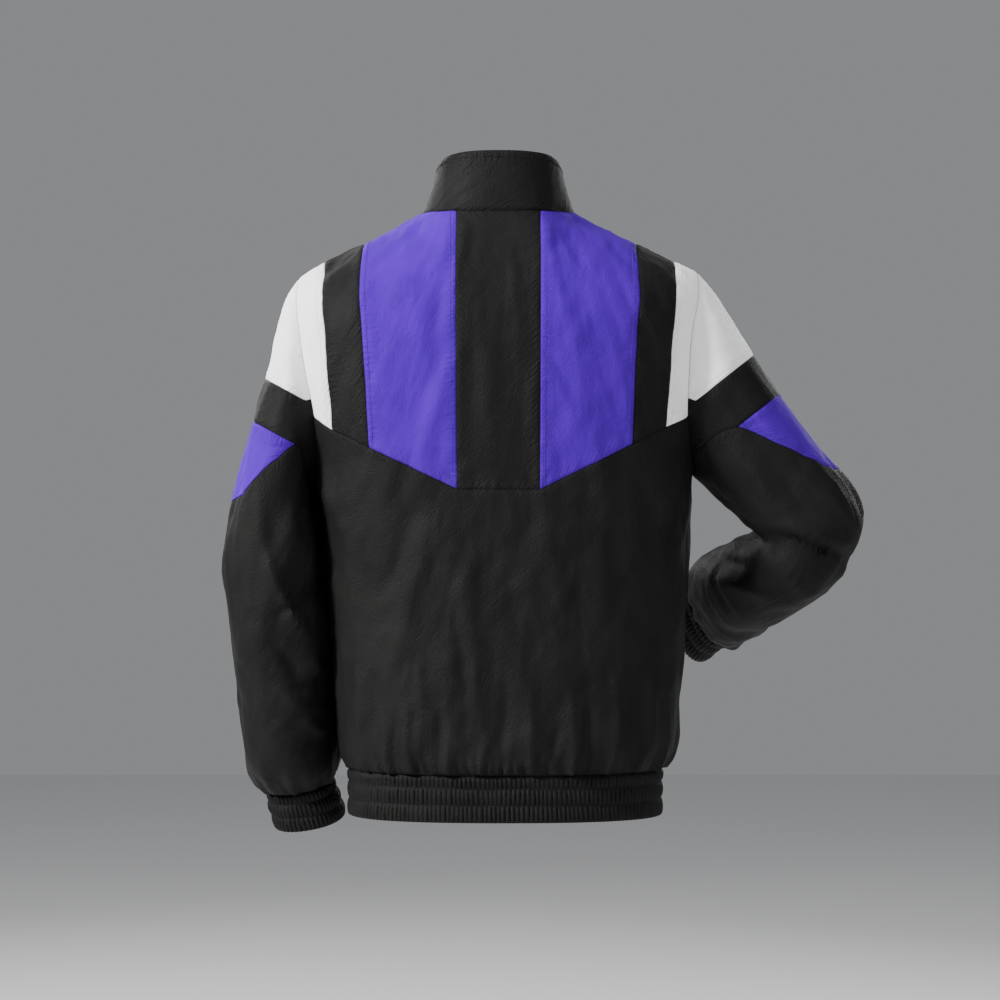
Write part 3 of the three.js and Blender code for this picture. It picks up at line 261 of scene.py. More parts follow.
# %% Sections along a sleeve
def sections(arm):
    rows = np.array(SLEEVE[arm], float)
    flat = np.zeros(len(rows))
    centre = np.stack([(rows[:, 1] + rows[:, 3]) / 2, rows[:, 5], (rows[:, 2] + rows[:, 4]) / 2], axis=-1)
    wide = np.stack([(rows[:, 1] - rows[:, 3]) / 2, flat, (rows[:, 2] - rows[:, 4]) / 2], axis=-1)
    before = centre[np.maximum(np.arange(len(rows)) - 1, 0)]
    after = centre[np.minimum(np.arange(len(rows)) + 1, len(rows) - 1)]
    deep = unit(np.cross(after - before, wide))
    deep *= np.where(deep[:, 1:2] < 0, -1, 1) * rows[:, 6:7]
    return rows[:, 0], centre, wide, deep


SECTIONS = {arm: sections(arm) for arm in SLEEVE}


def oval(centre, wide, deep, angle):
    c, s = np.cos(angle)[..., None], np.sin(angle)[..., None]
    e = 2 / 2.2
    return centre + wide * np.sign(c) * np.abs(c) ** e + deep * np.sign(s) * np.abs(s) ** e


print("sections read:", len(SECTIONS["left"][0]), "and", len(SECTIONS["right"][0]))


# %% A point of a sleeve, from its angle in degrees and its share of the length
def sleeve_point(arm, place):
    deg, share = place[..., 0].ravel(), place[..., 1].ravel()
    stops, centre, wide, deep = SECTIONS[arm]
    rings = [loop_point(arm, deg)] + [oval(centre[k], wide[k], deep[k], np.radians(deg)) for k in range(len(stops))]
    rings = np.stack(rings)
    key = np.concatenate([[0], stops])
    last = len(key) - 1
    at = np.clip(share, 0, 1) * LENGTH[arm]
    i = np.clip(np.searchsorted(key, at, side="left") - 1, 0, last - 1)
    here = np.arange(len(at))

    def slope(k):
        a, b = np.maximum(k - 1, 0), np.minimum(k + 1, last)
        return (rings[b, here] - rings[a, here]) / (key[b] - key[a])[:, None]

    span = (key[i + 1] - key[i])[:, None]
    t = (at - key[i])[:, None] / span
    t2, t3 = t * t, t ** 3
    h = 2 * t3 - 3 * t2 + 1
    p = h * rings[i, here] + (1 - h) * rings[i + 1, here]
    p = p + (t3 - 2 * t2 + t) * span * slope(i) + (t3 - t2) * span * slope(i + 1)
    return p.reshape(place.shape[:-1] + (3,))


def sleeve_normal(arm, place):
    e = 0.004
    around, down = np.array([1.5, 0]), np.array([0, e])
    low = place - down * (place[..., 1:2] - e >= 0)
    high = place + down * (place[..., 1:2] + e <= 1)
    turn = sleeve_point(arm, place + around) - sleeve_point(arm, place - around)
    along = sleeve_point(arm, high) - sleeve_point(arm, low)
    return unit(np.cross(along, turn)) * ARM[arm][0]


print("left elbow at", np.round(sleeve_point("left", np.array([[90, 0.5]]))[0]).tolist())

# %% [markdown]
# ## Unevenness
#
# Nylon never lies smooth. Three sizes of unevenness are told apart: long folds that the wearer's pose makes,
# which are placed from the photograph, soft diagonal waves a few centimetres apart,
# and a fine crinkle, which the material's bump carries. Blender's own textures could displace the mesh,
# but a small noise of our own gives the same value at a seam from both sides, so that panels stay joined.

# %% Soft noise
LATTICE = np.random.default_rng(7).random((32, 32, 32)) * 2 - 1


def soft_noise(p, size):
    q = p / size + 11.3
    base = np.floor(q).astype(int)
    f = q - base
    f = f * f * (3 - 2 * f)
    out = 0
    for corner in np.ndindex(2, 2, 2):
        c = np.array(corner)
        weight = np.prod(np.where(c, f, 1 - f), axis=-1)
        k = (base + c) % 32
        out = out + weight * LATTICE[k[..., 0], k[..., 1], k[..., 2]]
    return out


def leaning(p, lean, stretch):
    """Turns space so that noise runs long in a direction leaning from upright, as seen from the back."""
    a = math.radians(lean)
    along = -p[..., 0] * math.sin(a) + p[..., 2] * math.cos(a)
    across = p[..., 0] * math.cos(a) + p[..., 2] * math.sin(a)
    return np.stack([across, p[..., 1], along / stretch], axis=-1)


def fanned(p, stretch):
    """Turns space so that noise runs long in folds that hang from the neck and fan out below."""
    x, y, z = p[..., 0], p[..., 1], p[..., 2]
    return np.stack([x * 460 / np.maximum(200 - z, 250), y, z / stretch], axis=-1)


def waves(p):
    taut = 0.62 + 0.5 * np.clip((-230 - p[..., 2]) / 90, 0, 1)
    broad = soft_noise(fanned(p, 5) + 8 * soft_noise(p, 70)[..., None], 19)
    small = 1 - np.abs(soft_noise(fanned(p + 40, 3.4), 8.5)) * 2
    slanting = soft_noise(leaning(p - 90, 30, 2.6), 14)
    return taut * (2.3 * broad + 0.5 * small + 0.9 * slanting)


print("noise spreads over", round(float(LATTICE.std()), 2))

# %% [markdown]
# ## Listed folds
#
# Each row of these tables is one fold as seen square on from the back: where it starts and ends,
# how high its crest stands, or how deep its hollow is where the number is negative, and how wide it is.

# %% Tables of folds
# face, x and z of both ends, height, half width
BODY_FOLDS = [
    (1, 150, -70, 120, -235, 1.0, 13),
    (1, 100, -60, 66, -220, 1.0, 14),
    (1, 60, -157, 88, -233, -1.4, 9),
    (1, 52, -177, 80, -262, 1.4, 10),
    (1, -62, -60, -96, -200, 0.8, 13),
    (1, -55, -165, -78, -205, -1.2, 8),
    (1, -66, -200, -92, -275, 1.0, 10),
    (1, 20, -60, 6, -300, 0.7, 15),
    (1, 68, -342, 123, -517, 2.4, 12),
    (1, 93, -340, 142, -470, -2.0, 11),
    (1, 52, -320, 60, -440, 1.2, 12),
    (1, 35, -408, 18, -562, 2.0, 12),
    (1, 46, -440, 32, -590, -1.8, 9),
    (1, -34, -400, -26, -500, 1.6, 12),
    (1, -46, -318, -66, -430, 1.4, 11),
    (1, -107, -290, -119, -490, 1.7, 15),
    (1, -84, -380, -96, -520, -1.4, 11),
    (1, -9, -528, -4, -600, -2.8, 10),
    (1, -97, -530, -97, -585, -2.6, 10),
    (1, -64, -568, -60, -606, -2.4, 7),
    (1, -80, -540, -80, -600, 1.8, 6),
    (1, -130, -520, -126, -600, 2.2, 9),
    (1, -150, -540, -146, -600, -1.8, 7),
    (1, -170, -520, -168, -596, 2.2, 7),
    (1, -36, -540, -34, -604, 2.0, 8),
    (1, 153, -500, 155, -590, 2.2, 9),
    (1, 136, -520, 134, -600, -1.8, 7),
    (1, 84, -510, 86, -590, 2.0, 8),
    (1, 111, -556, 112, -606, -2.4, 6),
    (1, 64, -540, 62, -604, -1.8, 7),
    (1, 160, -300, 168, -450, 1.4, 13),
    (1, 196, -300, 170, -360, 2.4, 13),
    (1, -205, -296, -176, -356, 2.4, 13),
    (-1, 120, -40, 70, -180, 2.0, 14),
    (-1, -120, -40, -72, -180, 2.0, 14),
    (-1, 190, -250, 110, -360, 2.6, 16),
    (-1, -190, -250, -105, -350, 2.6, 16),
    (-1, 150, -330, 90, -520, 2.0, 18),
    (-1, -140, -340, -96, -540, 2.0, 18),
    (-1, 60, -240, 40, -460, -1.6, 14),
    (-1, -60, -250, -46, -450, -1.6, 14),
    (-1, 150, -480, 140, -590, 2.0, 13),
    (-1, -150, -470, -152, -590, 2.0, 13),
    (-1, 70, -500, 66, -600, 1.6, 12),
    (-1, -76, -490, -70, -596, 1.6, 12),
]

# arm, face, x and z of both ends, height, half width
SLEEVE_FOLDS = [
    ("left", 1, 266, -330, 250, -398, 2.4, 8),
    ("left", 1, 251, -392, 230, -440, 4.0, 8),
    ("left", 1, 233, -432, 209, -484, 4.6, 8),
    ("left", 1, 231, -440, 194, -416, -5.5, 7),
    ("left", 1, 224, -358, 204, -396, 3.6, 10),
    ("left", 1, 240, -484, 218, -524, -3.0, 7),
    ("left", 1, 212, -492, 194, -516, 4.0, 7),
    ("left", 1, 220, -527, 190, -521, -3.6, 6),
    ("left", 1, 238, -534, 214, -550, 3.4, 7),
    ("left", 1, 216, -556, 190, -540, -3.0, 6),
    ("left", 1, 214, -561, 196, -584, 3.6, 7),
    ("left", 1, 216, -598, 191, -583, -3.0, 6),
    ("left", 1, 248, -570, 222, -577, 1.2, 4),
    ("left", 1, 250, -588, 226, -592, 1.2, 4),
    ("left", 1, 258, -470, 262, -600, 1.4, 11),
    ("left", 1, 280, -400, 278, -520, 1.4, 11),
    ("left", 1, 241, -92, 231, -145, -3, 8),
    ("left", -1, 274, -350, 232, -470, 5, 15),
    ("left", -1, 262, -520, 236, -606, 4, 13),
    ("right", 1, -281, -357, -384, -388, -7, 9),
    ("right", 1, -305, -352, -385, -368, 5, 9),
    ("right", 1, -300, -388, -340, -420, 4, 10),
    ("right", 1, -262, -268, -300, -330, 3.5, 12),
    ("right", 1, -226, -96, -224, -200, -7, 10),
    ("right", 1, -330, -300, -392, -345, 3.4, 11),
    ("right", 1, -250, -410, -330, -436, 3, 9),
    ("right", 1, -240, -380, -276, -398, -4, 7),
    ("right", -1, -281, -357, -386, -384, -7, 10),
    ("right", -1, -300, -300, -380, -350, 4, 13),
]
print(len(BODY_FOLDS), "folds on the trunk,", len(SLEEVE_FOLDS), "on the sleeves")


# %% How a fold lifts the cloth
def fold_lift(p, x0, z0, x1, z1, high, wide):
    dx, dz = x1 - x0, z1 - z0
    long2 = dx * dx + dz * dz
    raw = ((p[..., 0] - x0) * dx + (p[..., 2] - z0) * dz) / long2
    t = np.clip(raw, 0, 1)
    sway = 0.16 * wide * np.sin(t * 5.3 + x0)
    across = ((p[..., 0] - x0) * dz - (p[..., 2] - z0) * dx) / math.sqrt(long2) + sway
    past = (raw - t) * math.sqrt(long2)
    taper = 0.35 + 0.65 * np.sin(math.pi * np.clip(0.12 + 0.76 * t, 0, 1))
    crest = np.exp(-np.abs(across / wide) ** 1.6 - (past / (wide * 1.3)) ** 2)
    return 1.55 * high * taper * crest


def body_lift(p):
    face = np.where(p[..., 1] >= 0, 1, -1)
    out = waves(p)
    for side, *row in BODY_FOLDS:
        out = out + np.where(face == side, fold_lift(p, *row), 0) * np.clip(np.abs(p[..., 1]) / 40, 0, 1)
    return out


# height, how far the inner front of the hanging sleeve swells towards the body it leans on
LEAN_ON = [(-280, 6), (-300, 9), (-320, 10), (-350, 8.5), (-400, 7), (-456, 6.5), (-519, 5.5), (-582, 6.5), (-612, 6), (-640, 0)]


def sleeve_lift(arm, p, deg):
    out = 1.1 * waves(p)
    if arm == "left":
        off = (deg + 163 + 540) % 360 - 180
        touch = np.exp(-(off / 16) ** 2)
        out = out * (1 - 0.7 * touch) + smooth_value(LEAN_ON, 1, p[..., 2]) * touch
    turn = np.sin(np.radians(deg))
    for which, face, *row in SLEEVE_FOLDS:
        if which == arm:
            out = out + np.where(face * turn > 0, fold_lift(p, *row), 0) * np.abs(turn) ** 0.7
    return out


print("a fold's crest reads", round(float(fold_lift(np.array([84.0, 0, -170]), 100, -60, 62, -280, 2, 14)), 2), "mm")

# %% [markdown]
# ## Gathers above the elastic
#
# The elastic draws the cloth in, so short pleats rise from the hem and the cuffs, each a little different.
# They could be simulated by shrinking a seam. A row of tapering crests placed round the seam does the same
# and lets their spacing follow the photograph: one every 25 to 40 mm, with finer ones between.

# %% Pleats round a seam
def pleat_rows(around, apart, rise, high, wide, seed):
    pick = np.random.default_rng(seed)
    count = round(around / apart)
    at = (np.arange(count) + pick.uniform(-0.34, 0.34, count)) * around / count
    return [(a, pick.uniform(*rise), pick.uniform(*high), pick.uniform(*wide), pick.uniform(-7, 7)) for a in at]


TURN = np.linspace(0, 2 * math.pi, 3000)
ROUND = np.linalg.norm(np.diff(trunk_point(np.stack([TURN, 0 * TURN + HEM_TOP], axis=-1)), axis=0), axis=-1)
ROUND = np.concatenate([[0], np.cumsum(ROUND)])
CUFF_ROUND = 270
HEM_PLEATS = (pleat_rows(ROUND[-1], 34, (45, 120), (3.0, 5.7), (4.2, 7.4), 3)
              + pleat_rows(ROUND[-1], 15, (16, 36), (2.4, 4.6), (2.8, 4.2), 4)
              + pleat_rows(ROUND[-1], 14, (14, 32), (-4.4, -2.4), (2.2, 3.2), 7))
CUFF_PLEATS = (pleat_rows(CUFF_ROUND, 22, (26, 70), (2.2, 4.4), (4.5, 7), 5)
               + pleat_rows(CUFF_ROUND, 13, (14, 30), (1.8, 3.6), (2.8, 4.2), 6))


def pleat_lift(rows, around, run, up_mm):
    out = 0
    for at, rise, high, wide, lean in rows:
        up = up_mm / rise
        off = (run - at - lean * up + 1.5 * around) % around - 0.5 * around
        shape = np.clip(1 - up, 0, 1) ** 1.2 * np.clip(up_mm / 3.2, 0, 1)
        out = out + high * shape * np.exp(-np.abs(off / wide) ** 1.6)
    return out


print(len(HEM_PLEATS), "pleats above the hem,", len(CUFF_PLEATS), "above each cuff")

# %% [markdown]
# ## Cutting a panel
#
# A panel is a patch between four seams. The seams are lines on the body form, so the patch is worked out
# in the form's own two coordinates and then laid on it. The grid lines crowd towards a seam,
# because there the cloth rolls in and puckers within a few millimetres.

# %% Lines, edges and patches
CROWD = [0, 0.8, 2.0, 4.0, 6.5, 9.0]
CELL = 3.1


def spread(start, end, cells, easing=1.0):
    return start + (end - start) * (np.arange(cells + 1) / cells) ** easing


def grid_lines(length, cell=CELL, crowd=(True, True), keep=()):
    start = CROWD if crowd[0] else [0]
    end = [length - v for v in reversed(CROWD)] if crowd[1] else [length]
    cells = max(2, round((end[0] - start[-1]) / cell))
    middle = np.linspace(start[-1], end[0], cells + 1)[1:-1]
    out = np.concatenate([start, middle, end]) / length
    for k in keep:
        out[np.argmin(np.abs(out - k))] = k
    return out


def evened(edge, surface, count=900):
    edge = np.asarray(edge, float)
    fine = np.linspace(0, len(edge) - 1, count * 2)
    dense = np.stack([np.interp(fine, np.arange(len(edge)), edge[:, k]) for k in (0, 1)], axis=-1)
    steps = np.linalg.norm(np.diff(surface(dense), axis=0), axis=-1)
    run = np.concatenate([[0], np.cumsum(steps)])
    want = np.linspace(0, run[-1], count)
    return np.stack([np.interp(want, run, dense[:, k]) for k in (0, 1)], axis=-1), run[-1]


def along(edge, s):
    f = np.linspace(0, 1, len(edge))
    return np.stack([np.interp(s, f, edge[:, k]) for k in (0, 1)], axis=-1)


def patch(surface, top, low, left, right, crowd="TBLR", cell=CELL, keep=()):
    (top, a), (low, b), (left, c), (right, d) = (evened(edge, surface) for edge in (top, low, left, right))
    s = grid_lines((a + b) / 2, cell, ("L" in crowd, "R" in crowd), keep)
    t = grid_lines((c + d) / 2, cell, ("T" in crowd, "B" in crowd))
    up, down, near, far = along(top, s)[None], along(low, s)[None], along(left, t)[:, None], along(right, t)[:, None]
    s, t = s[None, :, None], t[:, None, None]
    corners = (1 - t) * ((1 - s) * top[0] + s * top[-1]) + t * ((1 - s) * low[0] + s * low[-1])
    return (1 - t) * up + t * down + (1 - s) * near + s * far - corners


print("grid lines across 90 mm:", len(grid_lines(90)))


# %% How far each point is from the seams, and what the seam does to it
def run_along(points, axis):
    steps = np.linalg.norm(np.diff(points, axis=axis), axis=-1)
    zero = np.zeros_like(steps[:1] if axis == 0 else steps[:, :1])
    return np.cumsum(np.concatenate([zero, steps], axis=axis), axis=axis)


def seam_runs(points):
    down, across = run_along(points, 0), run_along(points, 1)
    return {"T": (down, across), "B": (down[-1:] - down, across), "L": (across, down), "R": (across[:, -1:] - across, down)}


def seam_lift(points, seams, stitched=""):
    out = np.zeros(points.shape[:2])
    nearest = np.full(points.shape[:2], 60.0)
    second, way, pull = nearest.copy(), np.zeros(points.shape[:2]), np.zeros(points.shape[:2])
    for side, (away, run) in seam_runs(points).items():
        if side in seams:
            out -= 0.95 * np.exp(-(away / 1.5) ** 2)
            closer = away < nearest
            second = np.where(closer, nearest, np.minimum(second, away))
            way = np.where(closer, run, way)
            pull = np.where(closer, 1.0 if side in stitched else 0.6, pull)
            nearest = np.minimum(nearest, away)
            uneven = soft_noise(points, 14)
            pucker = np.sin(run / 2.1 + 2.6 * uneven) * np.clip(0.5 + uneven, 0, 1)
            out += 0.2 * pucker * np.exp(-((away - 6) / 4) ** 2)
            if side in stitched:
                out -= 0.34 * np.exp(-((away - 6.5) / 1.3) ** 2)
    pull = pull * np.clip((second - nearest) / 8, 0, 1) * np.clip((19 - nearest) / 14, 0, 1)
    return out, (nearest, way, pull)


print("a seam sinks the cloth by 0.95 mm and puckers it within 9 mm")

# %% [markdown]
# ## Making the mesh
#
# Blender's grid is the start of each panel: a flat sheet of the right number of cells, whose points are then
# laid on the form. Solidify gives the cloth its wall, drawn inwards so that the outside stays where it was placed.
# A tube is the same sheet, sewn to itself by merging its two ends.

# %% A cloth piece
bpy.ops.object.select_all(action="DESELECT")
PIECES = {}


def edit(operator, **settings):
    bpy.ops.object.mode_set(mode="EDIT")
    bpy.ops.mesh.select_all(action="SELECT")
    operator(**settings)
    bpy.ops.object.mode_set(mode="OBJECT")


def apply_modifier(piece, kind, **settings):
    step = piece.modifiers.new(kind.title(), kind)
    for key, value in settings.items():
        setattr(step, key, value)
    bpy.ops.object.modifier_apply(modifier=step.name)


def cloth(name, points, outward, seam_marks=None, wall=0.9, tube=False):
    rows, cols = points.shape[:2]
    bpy.ops.object.select_all(action="DESELECT")
    bpy.ops.mesh.primitive_grid_add(x_subdivisions=cols - 1, y_subdivisions=rows - 1, size=1)
    piece = bpy.context.object
    piece.name = piece.data.name = name
    mesh = piece.data
    mesh.vertices.foreach_set("co", (points.reshape(-1, 3) * MM).ravel())
    width, length = run_along(points, 1), run_along(points, 0)
    flat = np.stack([width, length], axis=-1).reshape(-1, 2) * MM
    at = np.empty(len(mesh.loops), int)
    mesh.loops.foreach_get("vertex_index", at)
    mesh.uv_layers[0].data.foreach_set("uv", flat[at].ravel())
    far = np.full((rows, cols), 60.0)
    for mark, values in zip(("seam", "way", "pull"), seam_marks or (far, far, 0 * far)):
        mesh.attributes.new(mark, "FLOAT", "POINT").data.foreach_set("value", values.ravel())
    mesh.update()
    middle = mesh.polygons[len(mesh.polygons) // 2 + cols // 2]
    j, i = divmod(middle.vertices[0], cols)
    if middle.normal.dot(outward[j, i].tolist()) < 0:
        edit(bpy.ops.mesh.flip_normals)
    if tube:
        edit(bpy.ops.mesh.remove_doubles, threshold=2e-5)
    apply_modifier(piece, "SOLIDIFY", thickness=wall * MM, offset=-1, use_even_offset=False)
    bpy.ops.object.shade_smooth_by_angle(angle=math.radians(60))
    sides = np.linalg.norm(np.cross(points[1:, :-1] - points[:-1, :-1], points[:-1, 1:] - points[:-1, :-1]), axis=-1)
    PIECES[name] = {
        "piece": piece,
        "flat": (float(width[:, -1].max()) * MM, float(length[-1].max()) * MM),
        "area": float(sides.sum()) * 1e-6,
    }
    return piece


print("ready to cut cloth at", CELL, "mm a cell")

# %% [markdown]
# ## The back yoke
#
# Seven upright strips make the upper back: white, black, purple, a black middle, then the same mirrored.
# Their lower edge is a shallow V. Each strip is sewn from neck or shoulder down to the lower back.

# %% Seams of the yoke
# share of the way down; seams of the middle strip, left and right; of the purple; of the white
STRIPES = [
    (0, 46.6, -46.2, 150.6, -153.5, 192.9, -196.2),
    (0.25, 46.2, -45.7, 151, -154, 193, -194.8),
    (0.5, 45.7, -45.3, 147, -150.3, 189, -190.5),
    (0.75, 45.2, -44.9, 143.6, -147.6, 185, -186.8),
    (1, 44.7, -44.6, 140.8, -145.5, 181.9, -183.6),
]
COLUMN = {"centre": (1, 2), "purple": (3, 4), "white": (5, 6)}

# the lower edge of the yoke: distance from the middle, height
CHEVRON = [
    (206.4, -232.3), (181.9, -246.3), (140.8, -265.3), (44.7, -310.8),
    (-44.6, -311.3), (-145.5, -262), (-183.6, -243), (-213.3, -229),
]
ARM_TOP, ARM_YOKE, ARM_UNDER = 0, 117, 180


def chevron(x):
    rows = np.array(CHEVRON)[::-1]
    return np.interp(x, rows[:, 0], rows[:, 1])


def neck_back(x):
    return -4.6 + 3 * (x / 86) ** 2


def on_back(x, z):
    return np.stack([angle_at(x, z, 1), z + 0 * x], axis=-1)


def stripe_seam(which, side):
    column = COLUMN[which][side]
    top, low = STRIPES[0][column], STRIPES[-1][column]
    top_z = float(neck_back(top)) if abs(top) < NECK_X else float(ridge(np.float64(top)))
    t = spread(0, 1, 120, 1.35)
    return on_back(smooth_value(STRIPES, column, t), top_z + (float(chevron(low)) - top_z) * t)


def neck_line(start, end, cells=30):
    x = np.linspace(start, end, cells + 1)
    return on_back(x, np.where(np.abs(x) >= NECK_X - 1e-6, ridge(x), neck_back(x)))


def shoulder_line(start, end, face=1, cells=30):
    x = np.linspace(start, end, cells + 1)
    return np.stack([angle_at(x, ridge(x), face), ridge(x)], axis=-1)


def chevron_line(start, end, cells=40):
    x = np.linspace(start, end, cells + 1)
    return on_back(x, chevron(x))


print("the middle strip is", STRIPES[0][1] - STRIPES[0][2], "mm wide")


# %% Laying a trunk panel
def join(*lines):
    return np.concatenate([lines[0]] + [line[1:] for line in lines[1:]])


def trunk_panel(name, top, low, left, right, seams="TBLR", stitched="", arm_sides="", zip_edge=False, keep=()):
    place = patch(trunk_point, top, low, left, right, crowd=seams, keep=keep)
    base = trunk_point(place)
    outward = trunk_normal(base)
    lift, marks = seam_lift(base, seams, stitched)
    runs = seam_runs(base)
    calm = np.ones(base.shape[:2])
    for side in arm_sides:
        calm = np.minimum(calm, np.clip(runs[side][0] / 16, 0, 1))
    above = base[..., 2] - HEM_TOP
    calm = np.minimum(calm, np.clip(above / 12, 0, 1))
    calm = np.minimum(calm, np.clip((np.hypot(base[..., 0], base[..., 1]) - 70) / 25, 0, 1))
    stiff = np.clip(runs["L"][0] / 24, 0, 1) if zip_edge else 1
    run = np.interp(place[..., 0] % (2 * math.pi), TURN, ROUND)
    lift = lift + (body_lift(base) * calm + pleat_lift(HEM_PLEATS, ROUND[-1], run, above)) * stiff
    points = base + outward * lift[..., None]
    cloth(name, points, outward, marks)
    return points, outward


def white_low(side, corner, cells=30):
    x0 = STRIPES[-1][COLUMN["white"][side]]
    end = trunk_point(corner)
    t = np.linspace(0, 1, cells + 1)
    x, z = x0 + (end[0] - x0) * t, chevron(x0) + (end[2] - chevron(x0)) * t
    line = on_back(x, z)
    line[-1] = corner
    return line


# %% The seven strips
SEAMS = {}
upper = spread(ARM_TOP, ARM_YOKE, 80)
first, last = STRIPES[0], STRIPES[-1]
for side, arm in enumerate(("left", "right")):
    sign = (1, -1)[side]
    c0, p0, w0 = (first[COLUMN[k][side]] for k in ("centre", "purple", "white"))
    c1, p1, w1 = (last[COLUMN[k][side]] for k in ("centre", "purple", "white"))
    shoulder_end = float(trunk_point(arm_place(arm, 0))[0, 0])
    arm_side = arm_edge(arm, upper, 1)
    neck = join(neck_line(c0, sign * NECK_X), shoulder_line(sign * NECK_X, p0))
    seam_c, seam_p, seam_w = (stripe_seam(k, side) for k in ("centre", "purple", "white"))
    SEAMS["purple_" + arm] = trunk_panel(
        "cloth_back_purple_" + arm, neck, chevron_line(c1, p1), seam_c, seam_p, stitched="LR")
    trunk_panel("cloth_back_side_" + arm, shoulder_line(p0, w0), chevron_line(p1, w1), seam_p, seam_w)
    white_top = shoulder_line(w0, shoulder_end)
    white_top[-1] = arm_side[0]
    SEAMS["white_" + arm] = trunk_panel(
        "cloth_back_white_" + arm, white_top, white_low(side, arm_side[-1]), seam_w, arm_side,
        stitched="L", arm_sides="R")
middle_low = chevron_line(last[1], last[2])
trunk_panel("cloth_back_centre", neck_line(first[1], first[2]), middle_low, stripe_seam("centre", 0), stripe_seam("centre", 1))
print("strips:", [name for name in PIECES])

# %% [markdown]
# ## The lower back and the fronts
#
# The lower back is one piece from side seam to side seam. The front is not in the photograph:
# it gets the plain form of its kind, a coloured yoke over a black lower front on each side of a full zip.

# %% The lower back
lower = spread(ARM_YOKE, ARM_UNDER, 50)
arm_low = {arm: arm_edge(arm, lower, 1) for arm in ARM}
back_top = join(
    arm_low["left"][::-1],
    white_low(0, arm_low["left"][0])[::-1],
    chevron_line(last[5], last[3]), chevron_line(last[3], last[1]), chevron_line(last[1], last[2]),
    chevron_line(last[2], last[4]), chevron_line(last[4], last[6]),
    white_low(1, arm_low["right"][0]), arm_low["right"],
)


def corner_shares(edge, xs):
    even, _ = evened(edge, trunk_point)
    px = trunk_point(even)[:, 0]
    return [float(np.argmin(np.abs(px - x))) / (len(px) - 1) for x in xs]


def hem_line(start, end, cells=200):
    angle = np.linspace(start, end, cells + 1)
    return np.stack([angle, np.full_like(angle, HEM_TOP)], axis=-1)


def upright(angle, top, cells=120):
    z = np.linspace(top, HEM_TOP, cells + 1)
    return np.stack([np.full_like(z, angle), z], axis=-1)


side_top = arm_low["left"][-1][1], arm_low["right"][-1][1]
keep = corner_shares(back_top, (206.4, 181.9, 140.8, 44.7, -44.6, -145.5, -183.6, -213.3))
trunk_panel("cloth_back_lower", back_top, hem_line(0, math.pi), upright(0, side_top[0]), upright(math.pi, side_top[1]), keep=keep)
print("the lower back holds", round(PIECES["cloth_back_lower"]["area"], 3), "square metres")


# %% The fronts
def mid_x(z):
    return smooth_value(TRUNK, 1, z)


def neck_front(x):
    return -1.6 - 60.4 * np.sqrt(np.maximum(0, 1 - (x / 87) ** 2))


def zip_side(sign, start, end, cells=120):
    z = np.linspace(start, end, cells + 1)
    return np.stack([angle_at(mid_x(z) + sign * ZIP_EDGE, z, -1), z], axis=-1)


def front_neck(sign, cells=60):
    a = np.linspace(math.asin(ZIP_EDGE / 87), math.asin(NECK_X / 87), cells + 1)
    x = sign * 87 * np.sin(a)
    low, end = neck_front(x), float(ridge(np.float64(sign * NECK_X)))
    z = low + (end - low) * np.linspace(0, 1, cells + 1) ** 56
    line = np.stack([angle_at(x, z, -1), z], axis=-1)
    line[0] = zip_side(sign, float(neck_front(ZIP_EDGE)), HEM_TOP)[0]
    return line


for sign, arm in ((1, "left"), (-1, "right")):
    shoulder_end = float(trunk_point(arm_place(arm, 0))[0, 0])
    arm_up, arm_down = arm_edge(arm, upper, -1), arm_edge(arm, lower, -1)
    top = join(front_neck(sign), shoulder_line(sign * NECK_X, shoulder_end, -1, 60))
    top[-1] = arm_up[0]
    corner = trunk_point(arm_up[-1])
    t = np.linspace(0, 1, 90)
    x = mid_x(YOKE_FRONT) + sign * ZIP_EDGE
    x, z = x + (corner[0] - x) * t, YOKE_FRONT + (corner[2] - YOKE_FRONT) * t
    seam = np.stack([angle_at(x, z, -1), z], axis=-1)
    seam[-1] = arm_up[-1]
    zip_up = zip_side(sign, float(neck_front(ZIP_EDGE)), YOKE_FRONT)
    SEAMS["yoke_" + arm] = trunk_panel(
        "cloth_front_yoke_" + arm, top, seam, zip_up, arm_up, stitched="LB", arm_sides="R", zip_edge=True)
    zip_low = zip_side(sign, YOKE_FRONT, HEM_TOP)
    turn = 0 if sign > 0 else -math.pi
    share = corner_shares(join(seam, arm_down), (corner[0],))
    SEAMS["front_" + arm] = trunk_panel(
        "cloth_front_lower_" + arm, join(seam, arm_down), hem_line(zip_low[-1][0], turn),
        zip_low, upright(turn, arm_down[-1][1]), stitched="L", zip_edge=True, keep=share)
print("trunk panels:", len(PIECES))

# %% [markdown]
# ## The sleeves
#
# Each sleeve has a white cap, a black band, a purple kite-shaped inset on its outer side and a black lower part,
# sewn as a tube with the seam under the arm. The seams are lines seen square on from the back,
# so each is carried round the sleeve until it is met at every angle.

# %% Seams of the sleeves
# the seams of cap, kite top and kite bottom, as places x z in the picture plane
SLEEVE_SEAMS = {
    "left": {
        "cap": [(214.5, -212), (261.5, -187)],
        "kite_top": [(227.1, -260), (274.7, -235)],
        "kite_low": [(227.1, -260), (254.8, -282.3), (280.6, -306.9), (297, -327)],
    },
    "right": {
        "cap": [(-217.5, -214), (-285, -161.3)],
        "kite_top": [(-267.8, -240.5), (-313.5, -204.7)],
        "kite_low": [(-267.8, -240.5), (-322, -263.5), (-379, -289)],
    },
}
CAP_END, BAND_END = 105.6, 144


def from_camera(p):
    f = 3000 / (3000 - p[..., 1])
    return p[..., 0] * f, -322.6 + (p[..., 2] + 322.6) * f


